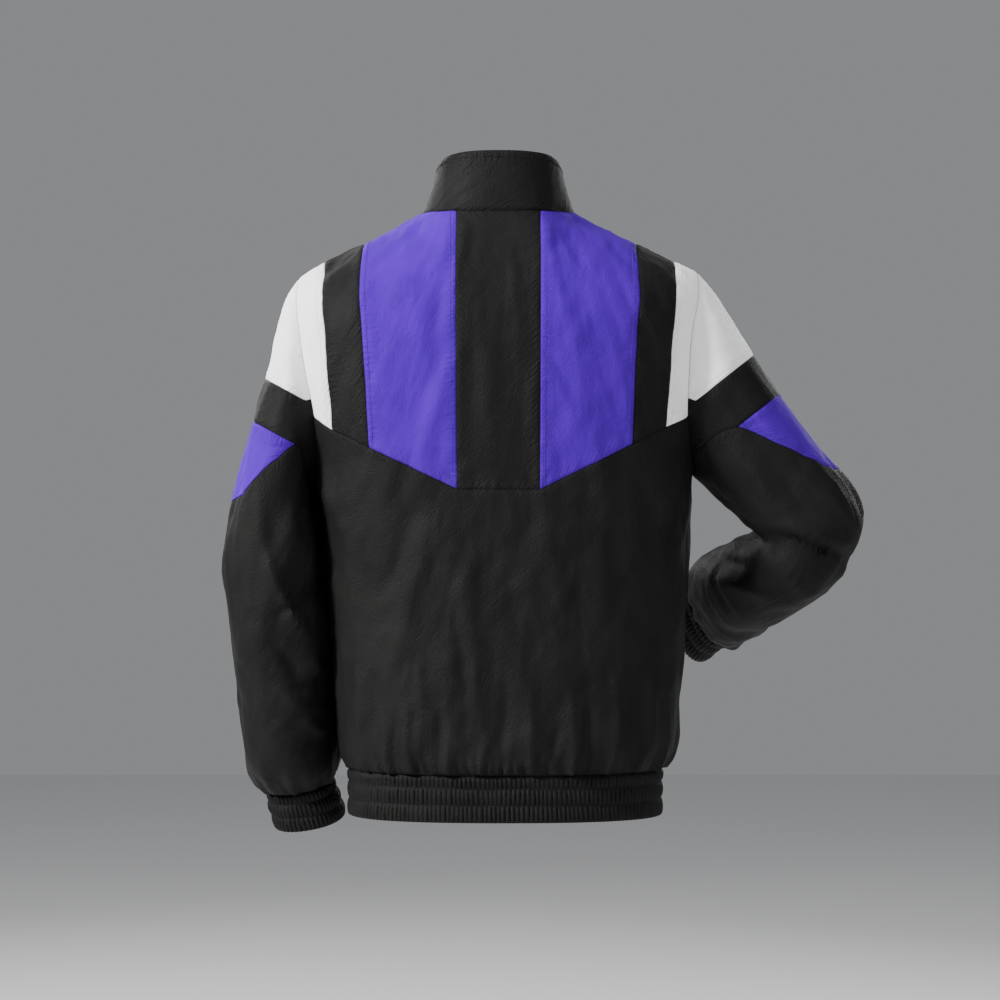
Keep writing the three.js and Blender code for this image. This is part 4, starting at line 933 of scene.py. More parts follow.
def seam_share(arm, deg, line):
    deg = np.atleast_1d(np.abs(np.asarray(deg, float)))
    sign = ARM[arm][0]
    low, high = np.full(len(deg), 0.001), np.full(len(deg), 0.75)
    line = np.array(line, float)
    for _ in range(26):
        m = (low + high) / 2
        x, z = from_camera(sleeve_point(arm, np.stack([deg, m], axis=-1)))
        i = np.sum([sign * x > sign * knot for knot in line[1:-1, 0]], axis=0).astype(int) * np.ones(len(x), int)
        a, b = line[i], line[i + 1]
        height = z - (a[:, 1] + (b[:, 1] - a[:, 1]) * (x - a[:, 0]) / (b[:, 0] - a[:, 0]))
        low, high = np.where(height > 0, m, low), np.where(height > 0, high, m)
    return (low + high) / 2


def seam_tip(arm, line):
    deg = np.linspace(20, 150, 261)
    share = seam_share(arm, deg, line)
    x, _ = from_camera(sleeve_point(arm, np.stack([deg, share], axis=-1)))
    gap = ARM[arm][0] * (x - line[0][0])
    k = int(np.argmax(gap <= 0))
    t = gap[k - 1] / (gap[k - 1] - gap[k])
    return deg[k - 1] + (deg[k] - deg[k - 1]) * t, share[k - 1] + (share[k] - share[k - 1]) * t


print("kite tips at", {arm: round(float(seam_tip(arm, SLEEVE_SEAMS[arm]["kite_top"])[0]), 1) for arm in ARM}, "degrees")


# %% Laying a sleeve panel
def sleeve_panel(name, arm, top, low, left, right, seams="TBLR", stitched="", tube=False):
    surface = lambda place: sleeve_point(arm, place)
    place = patch(surface, top, low, left, right, crowd=seams)
    base = surface(place)
    outward = sleeve_normal(arm, place)
    deg, share = place[..., 0], place[..., 1]
    reach = share * LENGTH[arm]
    root = trunk_normal(loop_point(arm, deg))
    near = np.clip(reach / 12, 0, 1)[..., None]
    outward = unit(outward * near + root * (1 - near))
    lift, marks = seam_lift(base, seams, stitched)
    end = (1 - share) * LENGTH[arm]
    calm = np.clip(reach / 40, 0, 1) * np.clip(end / 16, 0, 1)
    lift = lift + sleeve_lift(arm, base, deg) * calm + pleat_lift(CUFF_PLEATS, CUFF_ROUND, deg * CUFF_ROUND / 360, end)
    points = base + outward * lift[..., None]
    if tube:
        points[:, -1] = points[:, 0]
    cloth(name, points, outward, marks, tube=tube)
    return points, outward


def both_ways(half):
    other = half.copy()
    other[:, 0] *= -1
    return join(other, half[::-1])


def at_root(degs):
    return np.stack([degs, 0 * degs], axis=-1)


# %% The four parts of each sleeve
for arm in ARM:
    lines = SLEEVE_SEAMS[arm]
    deg = np.linspace(CAP_END, 0, 60)
    cap = np.stack([deg, seam_share(arm, deg, lines["cap"])], axis=-1)
    cap[0] = (CAP_END, 0)
    cap_seam = both_ways(cap)
    cap_side = at_root(np.linspace(45, CAP_END, 50))
    mirrored = cap_side * (-1, 1)
    SEAMS["cap_" + arm] = sleeve_panel(
        "cloth_sleeve_cap_" + arm, arm, at_root(np.linspace(-45, 45, 60)), cap_seam, mirrored, cap_side, stitched="B")
    tip, tip_share = seam_tip(arm, lines["kite_top"])
    deg = np.linspace(tip, 0, 50)
    kite_top = np.stack([deg, seam_share(arm, deg, lines["kite_top"])], axis=-1)
    coarse = np.linspace(tip, 0, 6)
    kite_low = np.stack([coarse, seam_share(arm, coarse, lines["kite_low"])], axis=-1)
    kite_top[0] = kite_low[0] = (tip, tip_share)
    kite_low[4, 1] = (kite_low[3, 1] + kite_low[5, 1]) / 2
    lead = np.array([(BAND_END, 0), ((BAND_END + tip) / 2, tip_share / 2), (tip, tip_share)])
    band_side = at_root(np.linspace(CAP_END, BAND_END, 40))
    sleeve_panel(
        "cloth_sleeve_band_" + arm, arm, cap_seam, both_ways(join(lead, kite_top)), band_side * (-1, 1), band_side)
    SEAMS["kite_" + arm] = sleeve_panel(
        "cloth_sleeve_kite_" + arm, arm, kite_top[::-1], kite_low * (-1, 1), kite_top[::-1] * (-1, 1), kite_low,
        stitched="TBLR")
    under = at_root(np.linspace(180, BAND_END, 30))
    top = both_ways(join(under, lead, kite_low))
    end = np.stack([np.linspace(-180, 180, 200), np.ones(200)], axis=-1)
    down = np.linspace(0, 1, 80)
    SEAMS["lower_" + arm] = sleeve_panel(
        "cloth_sleeve_lower_" + arm, arm, top, end,
        np.stack([0 * down - 180, down], axis=-1), np.stack([0 * down + 180, down], axis=-1), tube=True)
print("panels so far:", len(PIECES))

# %% [markdown]
# ## Elastic hem and cuffs
#
# The hem and the cuffs are double cloth with three channels of elastic: it shortens them by half,
# and the spare cloth stands in ribs under 7 mm apart that break at each row of stitches.
# A displacement texture would blur the ribs, so they are part of the shape.

# %% Ribs
# share of the height, how far the channel bulges
CHANNELS = [(0, 0), (0.15, 1.2), (0.31, 0), (0.48, 1.3), (0.655, 0), (0.83, 1.3), (1, 0.2)]
STITCH_ROWS = (0.31, 0.655)
RIB = 5.0


def ribs(run, t, seed):
    out = 0
    channel = np.digitize(t, STITCH_ROWS)
    shift = np.array([0.0, 2.3, 4.4])[channel] + seed
    place = np.stack([run / 17, t * 1.4 + seed, channel * 5.0], axis=-1)
    phase = (run + shift * 0.55) / RIB + 0.3 * soft_noise(place, 1.0)
    crest = np.abs(np.cos(math.pi * phase)) ** 0.6
    size = 0.75 + 0.45 * soft_noise(place + 9.1, 1.7)
    pinch = 1.0
    for row in STITCH_ROWS:
        pinch = pinch * (1 - 0.7 * np.exp(-((t - row) / 0.032) ** 2))
    return 2.5 * crest * size * pinch + smooth_value(CHANNELS, 1, t) * 0.85 - 0.5


def band_rows(cells=46):
    return np.linspace(0, 1, cells + 1)


print("ribs every", RIB, "mm")

# %% The hem band
HEM = {"bottom": -672, "half": 174, "back": 106, "front": 108}
HEM_GAP = math.acos((1 - (ZIP_EDGE / HEM["half"]) ** SQUARE) ** 0.5)


def hem_point(angle, t):
    deep = np.where(np.sin(angle) >= 0, HEM["back"], HEM["front"])
    tuck = 2.8 * np.clip(1 - t / 0.09, 0, 1)
    x = -7.5 + (HEM["half"] - tuck) * squared(np.cos(angle))
    y = (deep - tuck) * squared(np.sin(angle))
    top = HEM_TOP + 2.5
    return np.stack([x, y, top + (HEM["bottom"] - top) * t + 0 * x], axis=-1)


dense = np.linspace(-math.pi / 2 + HEM_GAP, 1.5 * math.pi - HEM_GAP, 6000)
track = hem_point(dense, 0.5)
run = np.concatenate([[0], np.cumsum(np.linalg.norm(np.diff(track, axis=0), axis=-1))])
angles = np.interp(np.linspace(0, run[-1], int(run[-1] / 0.88)), run, dense)
angle, t = np.meshgrid(angles, band_rows(36))
base = hem_point(angle, t)
d = hem_point(angle + 0.01, t) - hem_point(angle - 0.01, t)
outward = unit(np.stack([d[..., 1], -d[..., 0], 0 * d[..., 0]], axis=-1))
across = run_along(base, 1)
ends = np.minimum(across, across[:, -1:] - across)
lift = ribs(across, t, 1.7) * np.clip(ends / 9, 0, 1) * np.clip((t - 0.03) * 11, 0, 1)
round_off = 0.9 * np.clip((t - 0.955) / 0.045, 0, 1) ** 2
points = base + outward * (lift - round_off)[..., None]
SEAMS["hem"] = points, outward
cloth("cloth_hem_band", points, outward, wall=1.5)
print("the hem is", round(float(run[-1])), "mm round, with", len(angles), "columns")

# %% The cuffs
CUFF = {"left": (214.5, -44, -685, 39.5, 36), "right": (-226.5, -168, -470.7, 45, 29)}


def cuff_point(arm, angle, t):
    _, centre, wide, deep = (row[-1] if k else row for k, row in enumerate(SECTIONS[arm]))
    x, y, z, half, thick = CUFF[arm]
    end = np.array([x, y, z])
    t = t[..., None]
    flare = np.minimum(1, t * 2.2)
    tuck = 2.8 * np.clip(1 - t / 0.1, 0, 1)
    w = wide + (unit(wide) * half - wide) * flare - unit(wide) * tuck
    d = deep + (unit(deep) * thick - deep) * flare - unit(deep) * tuck
    return oval(centre + (end - centre) * (t * 1.06 - 0.06), w, d, angle)


for arm in ARM:
    dense = np.linspace(-math.pi, math.pi, 3000)
    track = cuff_point(arm, dense, np.full(3000, 0.5))
    run = np.concatenate([[0], np.cumsum(np.linalg.norm(np.diff(track, axis=0), axis=-1))])
    count = round(run[-1] / RIB)
    angles = np.interp(np.linspace(0, run[-1], count * 7 + 1), run, dense)
    angle, t = np.meshgrid(angles, band_rows(38))
    base = cuff_point(arm, angle, t)
    turn = cuff_point(arm, angle + 0.01, t) - cuff_point(arm, angle - 0.01, t)
    down = cuff_point(arm, angle, np.minimum(t + 0.02, 1)) - cuff_point(arm, angle, np.maximum(t - 0.02, 0))
    outward = unit(np.cross(turn, down))
    away = base - base.mean(axis=1, keepdims=True)
    outward *= np.where(np.sum(outward * away, axis=-1, keepdims=True) < 0, -1, 1)
    across = np.linspace(0, count * RIB, len(angles))[None] + 0 * t
    lift = ribs(across, t, 3.1) * np.clip((t - 0.04) * 11, 0, 1)
    lift -= 0.8 * np.clip((t - 0.95) / 0.05, 0, 1) ** 2
    blend = np.clip((across[0, -1] - across) / 10, 0, 1)
    lift = lift * blend + lift[:, :1] * (1 - blend)
    points = base + outward * lift[..., None]
    points[:, -1] = points[:, 0]
    SEAMS["cuff_" + arm] = points, outward
    cloth("cloth_cuff_" + arm, points, outward, wall=1.5, tube=True)
    print(arm, "cuff:", round(float(run[-1])), "mm round,", count, "ribs")

# %% [markdown]
# ## The collar
#
# A stand collar of two layers rises from the neck seam, higher behind than in front, and leans in a little.
# Its top edge is a fold, so the wall is thicker.

# %% The collar
COLLAR = {"x": -1, "y": -4, "half": 69.5, "back": 66, "front": 69, "high": 61.5, "low": 8}


def collar_top(p):
    dx, dy = p[..., 0] - COLLAR["x"], p[..., 1] - COLLAR["y"]
    deep = np.where(dy > 0, COLLAR["back"], COLLAR["front"])
    r = (np.abs(dx / COLLAR["half"]) ** 2.3 + np.abs(dy / deep) ** 2.3) ** (1 / 2.3)
    front = np.clip(0.5 - dy / np.hypot(dx, dy) / 2, 0, 1)
    z = COLLAR["high"] + (COLLAR["low"] - COLLAR["high"]) * front ** 1.7
    return np.stack([COLLAR["x"] + dx / r, COLLAR["y"] + dy / r, z], axis=-1)


def collar_point(foot, t):
    top = collar_top(foot)
    t = t[..., None]
    p = foot + (top - foot) * t
    p[..., :2] = foot[..., :2] + (top - foot)[..., :2] * np.maximum(t, 0) ** 0.85
    return p


loop = np.concatenate([
    trunk_point(front_neck(1)),
    trunk_point(neck_line(NECK_X, -NECK_X, 90))[1:-1],
    trunk_point(front_neck(-1))[::-1],
])
run = np.concatenate([[0], np.cumsum(np.linalg.norm(np.diff(loop, axis=0), axis=-1))])
want = grid_lines(run[-1], 2.6) * run[-1]
foot = np.stack([np.interp(want, run, loop[:, k]) for k in range(3)], axis=-1)
for _ in range(3):
    foot[1:-1] = (foot[:-2] + 2 * foot[1:-1] + foot[2:]) / 4
t = 1 - 1.02 * grid_lines(64, 2.4)[:, None] + 0 * want[None]
base = collar_point(foot[None] + 0 * t[..., None], t)
turn = np.gradient(base, axis=1)
rise = -np.gradient(base, axis=0)
outward = unit(np.cross(turn, rise))
COLLAR_EDGE = {"left": (base[:, 0], outward[:, 0]), "right": (base[:, -1], outward[:, -1])}
print("the collar is", round(float(run[-1])), "mm round its seam")

# %% Folds of the collar
# share of the way round, share of the height, how far it leans, length in mm, height, half width
COLLAR_FOLDS = [
    (0.365, 0.10, 0.55, 26, 1.5, 3.6), (0.385, 0.28, 0.7, 30, 1.3, 3.2), (0.35, 0.45, 0.3, 26, 1.4, 3.4),
    (0.655, 0.16, -0.7, 26, 1.7, 3.4), (0.665, 0.34, -0.55, 30, 1.9, 3.2), (0.64, 0.50, -0.8, 34, 1.4, 3.6),
    (0.672, 0.62, -0.35, 24, 1.6, 3.0), (0.45, 0.4, 0.9, 60, 0.8, 7), (0.56, 0.5, -0.9, 66, 0.8, 8),
    (0.5, 0.62, 0.6, 60, 0.7, 8), (0.2, 0.35, 0.5, 30, 1.2, 5), (0.82, 0.4, -0.5, 30, 1.2, 5),
    (0.1, 0.5, 0.8, 26, 0.9, 5), (0.9, 0.55, -0.8, 26, 0.9, 5),
]
s_mm, t_mm = run_along(base, 1), (1 - run_along(base, 0) / 62) * 62
lift, marks = seam_lift(base, "TBLR", "")
for s0, t0, lean, long, high, wide in COLLAR_FOLDS:
    dx, dz = s_mm - s0 * run[-1], t_mm - t0 * 62
    a = math.atan(lean)
    line, gap = dz * math.cos(a) + dx * math.sin(a), dx * math.cos(a) - dz * math.sin(a)
    lift = lift + 0.4 * high * np.exp(-(gap / wide) ** 2 - (line / long) ** 4)
lift += 0.15 * waves(base) * np.clip(np.minimum(t_mm, 62 - t_mm) / 8, 0, 1)
lift += 0.9 * np.exp(-(t_mm / 2) ** 2)
points = base + outward * lift[..., None]
SEAMS["collar"] = points, outward
cloth("cloth_collar", points, outward, marks, wall=2.4)
print("collar folds:", len(COLLAR_FOLDS))

# %% [markdown]
# ## The zip
#
# A full-length zip closes the front, from the collar's top edge to the bottom of the hem. Its parts are
# two woven tapes, sewn under the edges of the fronts, a row of moulded teeth on each, a slider with its tab,
# and the box that the teeth start from. The teeth could be an Array along a curve, but a curve that turns
# over collar, chest and hem twists them, so one tooth is modelled and copied to places worked out on the form.

# %% The line of the zip
# share of the way from the front's edge to the middle of the zip, depth under the cloth
TAPE_ACROSS = [(-0.76, 2.7), (-0.36, 2.5), (0, 2.1), (0.45, 1.4), (1, 1.2)]


def zip_line(side):
    sign = 1 if side == "left" else -1
    z = np.linspace(float(neck_front(ZIP_EDGE)), HEM_TOP, 200)[1:]
    body = trunk_point(np.stack([angle_at(mid_x(z) + sign * ZIP_EDGE, z, -1), z], axis=-1))
    t = np.linspace(0, 1, 18)[1:]
    hem = hem_point(np.full_like(t, -math.pi / 2 + sign * HEM_GAP), t)
    edge = np.concatenate([COLLAR_EDGE[side][0], body, hem])
    front = np.concatenate([COLLAR_EDGE[side][1], trunk_normal(body), np.tile((0.0, -1.0, 0.0), (len(hem), 1))])
    front[:, 0] = 0
    middle = edge.copy()
    middle[:, 0] = mid_x(np.clip(edge[:, 2], HEM_TOP, 0)) + sign * ZIP_MID
    return edge, middle, unit(front)


# %% The tapes
for side in ARM:
    edge, middle, front = zip_line(side)
    if side == "right":
        columns = TAPE_ACROSS[::-1]
    else:
        columns = TAPE_ACROSS
    points = np.stack([edge + (middle - edge) * share - front * depth for share, depth in columns], axis=1)
    outward = np.repeat(front[:, None], len(columns), axis=1)
    cloth("zip_tape_woven_" + side, points, outward, wall=0.6)
print("each tape is", round(PIECES["zip_tape_woven_left"]["flat"][0] * 1000, 1), "mm wide")

# %% One tooth
bpy.ops.object.select_all(action="DESELECT")
bpy.ops.mesh.primitive_cube_add(size=1)
tooth = bpy.context.object
edit(bpy.ops.transform.resize, value=(3.3 * MM, 2.2 * MM, 1.3 * MM))
edit(bpy.ops.transform.translate, value=(1.55 * MM, 0, 0))
for face in tooth.data.polygons:
    face.select = face.normal.x < -0.9
bpy.ops.object.mode_set(mode="EDIT")
bpy.ops.mesh.inset(thickness=0.3 * MM, depth=0.5 * MM)
bpy.ops.object.mode_set(mode="OBJECT")
apply_modifier(tooth, "BEVEL", width=0.2 * MM, segments=1)
print("a tooth has", len(tooth.data.polygons), "faces")


# %% Copying a small shape to many places
def walk(line, outward, pitch, start=0.5):
    steps = np.linalg.norm(np.diff(line, axis=0), axis=-1)
    run = np.concatenate([[0], np.cumsum(steps)])
    at = (np.arange(int(run[-1] / pitch)) + start) * pitch
    at = at[at < run[-1]]

    def read(values, where):
        return np.stack([np.interp(where, run, values[:, k]) for k in range(3)], axis=-1)

    ahead = unit(read(line, np.minimum(at + 1, run[-1])) - read(line, np.maximum(at - 1, 0)))
    up = read(outward, at)
    up = unit(up - ahead * np.sum(up * ahead, axis=-1, keepdims=True))
    return read(line, at), ahead, up


def copied(name, master, places, turns):
    corners = np.array([v.co for v in master.data.vertices])
    faces = [list(face.vertices) for face in master.data.polygons]
    points = np.einsum("nij,vj->nvi", turns, corners) + places[:, None] * MM
    mesh = bpy.data.meshes.new(name)
    mesh.from_pydata(
        points.reshape(-1, 3).tolist(), [],
        [[v + k * len(corners) for v in face] for k in range(len(places)) for face in faces])
    piece = bpy.data.objects.new(name, mesh)
    bpy.context.scene.collection.objects.link(piece)
    bpy.ops.object.select_all(action="DESELECT")
    bpy.context.view_layer.objects.active = piece
    piece.select_set(True)
    bpy.ops.object.shade_smooth_by_angle(angle=math.radians(40))
    return piece


def facing(right, up, ahead):
    return np.stack([right, up, ahead], axis=-1)


print("a line is walked at an even pitch, so that copies keep their distance round a bend")

# %% Both rows of teeth
TOOTH_PITCH = 2.5
HARD = {}
for side, start in (("left", 0.8), ("right", 1.3)):
    _, middle, front = zip_line(side)
    middle[:, 0] = mid_x(np.clip(middle[:, 2], HEM_TOP, 0))
    place, down, up = walk(middle - front * 0.8, front, TOOTH_PITCH, start)
    sign = 1 if side == "left" else -1
    across = np.cross(up, down)
    turns = facing(across * np.sign(across[:, :1]) * sign, up, down * np.sign(across[:, :1]) * sign)
    turns[0] *= 1.25
    HARD["zip_teeth_" + side] = copied("zip_teeth_" + side, tooth, place, turns)
bpy.data.objects.remove(tooth)
print("teeth on each side:", len(place))

# %% The box at the foot of the zip
foot = (zip_line("left")[1][-1] + zip_line("right")[1][-1]) / 2
bpy.ops.object.select_all(action="DESELECT")
bpy.ops.mesh.primitive_cube_add(size=1)
box = bpy.context.object
box.name = box.data.name = "zip_box"
edit(bpy.ops.transform.resize, value=(8.4 * MM, 2.9 * MM, 8.5 * MM))
for face in box.data.polygons:
    face.select = face.normal.y < -0.9
bpy.ops.object.mode_set(mode="EDIT")
bpy.ops.mesh.inset(thickness=1.6 * MM, depth=-0.35 * MM)
bpy.ops.object.mode_set(mode="OBJECT")
edit(bpy.ops.transform.translate, value=(foot[0] * MM, (foot[1] + 0.6) * MM, (foot[2] + 4.6) * MM))
apply_modifier(box, "BEVEL", width=0.45 * MM, segments=2, limit_method="ANGLE")
bpy.ops.object.shade_smooth_by_angle(angle=math.radians(40))
HARD["zip_box"] = box
print("the box holds", len(box.data.polygons), "faces")

# %% [markdown]
# ## Slider and tab
#
# Both are die-cast and have the right form already in the plain solids. The copies are merged into closed shells,
# their flat faces are joined again, and a fine bevel gives them the rounded edge that a casting has.

# %% Cast parts
CAST = {"cast_zip_slider": ("zip_slider", 0.45), "cast_zip_tab": ("zip_pull_tab", 0.4)}
for name, (node, width) in CAST.items():
    piece = bpy.data.objects.new(name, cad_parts[node].data.copy())
    piece.data.name = name
    bpy.context.scene.collection.objects.link(piece)
    bpy.ops.object.select_all(action="DESELECT")
    bpy.context.view_layer.objects.active = piece
    piece.select_set(True)
    edit(bpy.ops.mesh.remove_doubles, threshold=1e-5)
    edit(bpy.ops.mesh.dissolve_limited, angle_limit=math.radians(2))
    apply_modifier(piece, "BEVEL", width=width * MM, segments=3, limit_method="ANGLE")
    bpy.ops.object.shade_smooth_by_angle(angle=math.radians(35))
    HARD[name] = piece
print("cast parts:", list(CAST))

# %% [markdown]
# ## Topstitching
#
# The coloured panels are sewn down with a row of stitches 6.5 mm from each seam, and two rows cross the elastic
# of hem and cuffs. A stitch is a bit of thread about 2.6 mm long that dives into the cloth at both ends.
# One is modelled, with rounded ends, and copied along each line in the colour of its cloth.

# %% One stitch
bpy.ops.object.select_all(action="DESELECT")
bpy.ops.mesh.primitive_cylinder_add(vertices=6, radius=0.3 * MM, depth=2.2 * MM)
stitch = bpy.context.object
for face in stitch.data.polygons:
    face.select = abs(face.normal.z) > 0.9
bpy.ops.object.mode_set(mode="EDIT")
bpy.ops.mesh.inset(thickness=0.12 * MM, depth=0.2 * MM, use_individual=True)
bpy.ops.object.mode_set(mode="OBJECT")
print("a stitch has", len(stitch.data.polygons), "faces")

# %% Lines of stitches
AT_SEAM = {"L": np.s_[1:-1, 4], "R": np.s_[1:-1, -5], "T": np.s_[4, 1:-1], "B": np.s_[-5, 1:-1]}
STITCHED = {
    "purple": [("purple_left", "LR"), ("purple_right", "LR"), ("yoke_left", "LB"), ("yoke_right", "LB"),
               ("kite_left", "TBLR"), ("kite_right", "TBLR")],
    "white": [("white_left", "L"), ("white_right", "L"), ("cap_left", "B"), ("cap_right", "B")],
    "black": [("front_left", "L"), ("front_right", "L")],
}
ROWS_OF = {"hem": (11, 24), "cuff_left": (12, 25), "cuff_right": (12, 25), "collar": (4,)}
STITCH_PITCH = 3.4
THREADS = {}
for dye, panels in STITCHED.items():
    found = []
    for panel, sides in panels:
        points, outward = SEAMS[panel]
        found += [walk(points[AT_SEAM[side]], outward[AT_SEAM[side]], STITCH_PITCH) for side in sides]
    if dye == "black":
        for panel, rows in ROWS_OF.items():
            points, outward = SEAMS[panel]
            found += [walk(points[row], outward[row], STITCH_PITCH) for row in rows]
    place, ahead, up = (np.concatenate(parts) for parts in zip(*found))
    turns = facing(np.cross(up, ahead), up, ahead)
    THREADS[dye] = copied("thread_" + dye, stitch, place + up * 0.12, turns)
    print(dye, "stitches:", len(place))
bpy.data.objects.remove(stitch)

# %% [markdown]
# ## Materials
#
# **Crinkled nylon taffeta.** A tight plain weave of glossy filament, washed until it crinkles.
# The weave is too fine to see from a few metres, but it gives the cloth a soft, broken sheen,
# and the crinkle shows as thousands of short creases that lean one way, 2 to 8 mm apart.
# Its roughness is about 0.65 and its gloss is faint. The three colours are one cloth in three dyes.

# %% Colours and nodes
def from_hex(code):
    out = []
    for k in (0, 2, 4):
        v = int(code[k:k + 2], 16) / 255
        out.append(v / 12.92 if v <= 0.04045 else ((v + 0.055) / 1.055) ** 2.4)
    return (*out, 1.0)


def add(tree, kind, at=(0, 0), inputs=None, **settings):
    node = tree.nodes.new(kind)
    node.location = at
    for key, value in settings.items():
        setattr(node, key, value)
    for key, value in (inputs or {}).items():
        if isinstance(value, bpy.types.NodeSocket):
            tree.links.new(value, node.inputs[key])
        else:
            node.inputs[key].default_value = value
    return node


def start_material(name):
    material = bpy.data.materials.new(name)
    material.use_nodes = True
    tree = material.node_tree
    return material, tree, tree.nodes["Principled BSDF"]


print("purple in linear light:", [round(v, 3) for v in from_hex("6450C8")[:3]])


# %% Nylon
def nylon(name, code, shade, roughness, gloss, sheen, depth=1.0):
    material, tree, surface = start_material(name)
    place = add(tree, "ShaderNodeTexCoord", (-1700, 0)).outputs["Object"]
    crease_frame = add(tree, "ShaderNodeMapping", (-1500, 0), {
        "Vector": place, "Rotation": (0, math.radians(-52), 0), "Scale": (1.0, 1.0, 2.2)}, vector_type="TEXTURE").outputs[0]
    cross_frame = add(tree, "ShaderNodeMapping", (-1500, -400), {
        "Vector": place, "Rotation": (0, math.radians(-24), 0), "Scale": (1.0, 1.0, 1.8)}, vector_type="TEXTURE").outputs[0]
    heights = None
    for k, (frame_of, scale, detail, share) in enumerate((
            (crease_frame, 330, 2.0, 1.0), (cross_frame, 170, 2.0, 0.55), (crease_frame, 620, 1.0, 0.4))):
        grain = add(tree, "ShaderNodeTexNoise", (-1300, -300 * k), {
            "Vector": frame_of, "Scale": scale, "Detail": detail, "Roughness": 0.55, "Distortion": 0.6})
        centred = add(tree, "ShaderNodeMath", (-1100, -300 * k), {0: grain.outputs["Fac"], 1: 0.5}, operation="SUBTRACT")
        folded = add(tree, "ShaderNodeMath", (-950, -300 * k), {0: centred.outputs[0]}, operation="ABSOLUTE")
        part = add(tree, "ShaderNodeMath", (-800, -300 * k), {0: folded.outputs[0], 1: -share}, operation="MULTIPLY")
        if heights is None:
            heights = part
        else:
            heights = add(tree, "ShaderNodeMath", (-650, -300 * k), {0: heights.outputs[0], 1: part.outputs[0]})
    seam = add(tree, "ShaderNodeAttribute", (-1300, -1000), attribute_name="seam")
    near = add(tree, "ShaderNodeMapRange", (-1100, -1000), {
        "Value": seam.outputs["Fac"], "From Min": 0.0, "From Max": 12.0, "To Min": 1.7, "To Max": 1.0})
    crinkle = add(tree, "ShaderNodeMath", (-700, -800), {0: heights.outputs[0], 1: near.outputs[0]}, operation="MULTIPLY")
    way = add(tree, "ShaderNodeAttribute", (-1700, -1300), attribute_name="way")
    fallen = add(tree, "ShaderNodeMath", (-1500, -1300), {
        0: seam.outputs["Fac"], 1: -0.62, 2: way.outputs["Fac"]}, operation="MULTIPLY_ADD")
    drawn = add(tree, "ShaderNodeMath", (-1500, -1500), {0: seam.outputs["Fac"], 1: 0.16}, operation="MULTIPLY")
    pucker_frame = add(tree, "ShaderNodeCombineXYZ", (-1300, -1300), {"X": fallen.outputs[0], "Y": drawn.outputs[0]})
    pucker = add(tree, "ShaderNodeTexNoise", (-1100, -1300), {
        "Vector": pucker_frame.outputs[0], "Scale": 0.3, "Detail": 1.0, "Roughness": 0.4})
    pull = add(tree, "ShaderNodeAttribute", (-1100, -1600), attribute_name="pull")
    puckers = add(tree, "ShaderNodeMath", (-900, -1300), {0: pucker.outputs["Fac"], 1: pull.outputs["Fac"]}, operation="MULTIPLY")
    height = add(tree, "ShaderNodeMath", (-500, -200), {
        0: puckers.outputs[0], 1: 1.7, 2: crinkle.outputs[0]}, operation="MULTIPLY_ADD")
    bump = add(tree, "ShaderNodeBump", (-300, -200), {
        "Height": height.outputs[0], "Strength": 1.0, "Distance": 0.001 * depth})
    dye = add(tree, "ShaderNodeTexNoise", (-1300, 400), {
        "Vector": place, "Scale": 18, "Detail": 4.0, "Roughness": 0.6})
    blend = add(tree, "ShaderNodeMapRange", (-1100, 400), {
        "Value": dye.outputs["Fac"], "From Min": 0.35, "From Max": 0.7})
    colour = add(tree, "ShaderNodeMix", (-800, 400), {
        0: blend.outputs[0], 6: from_hex(code), 7: from_hex(shade)}, data_type="RGBA")
    # Painted shade: within 1 mm of a seam the colour darkens to 0.35 of itself, standing for the shade in the sunken
    # seam.
    dark = add(tree, "ShaderNodeMapRange", (-1100, 700), {
        "Value": seam.outputs["Fac"], "From Min": 0.0, "From Max": 1.0, "To Min": 0.35, "To Max": 1.0})
    seam_shaded_colour = add(tree, "ShaderNodeMix", (-600, 500), {
        0: 1.0, 6: colour.outputs[2], 7: dark.outputs[0]}, data_type="RGBA", blend_type="MULTIPLY")
    tree.links.new(seam_shaded_colour.outputs[2], surface.inputs["Base Color"])
    tree.links.new(bump.outputs["Normal"], surface.inputs["Normal"])
    surface.inputs["Roughness"].default_value = roughness
    surface.inputs["IOR"].default_value = 1.53
    surface.inputs["Specular IOR Level"].default_value = gloss
    surface.inputs["Sheen Weight"].default_value = sheen
    surface.inputs["Sheen Roughness"].default_value = 0.45
    return material


BLACK = nylon("black crinkled nylon", "101010", "161615", 0.64, 0.1, 0.0, 1.3)
PURPLE = nylon("purple crinkled nylon", "48099F", "410893", 0.66, 0.06, 0.0)
WHITE = nylon("white crinkled nylon", "FCFCFC", "F6F6F7", 0.66, 0.2, 0.0, 0.9)
print("nylon in", BLACK.name, PURPLE.name, WHITE.name)
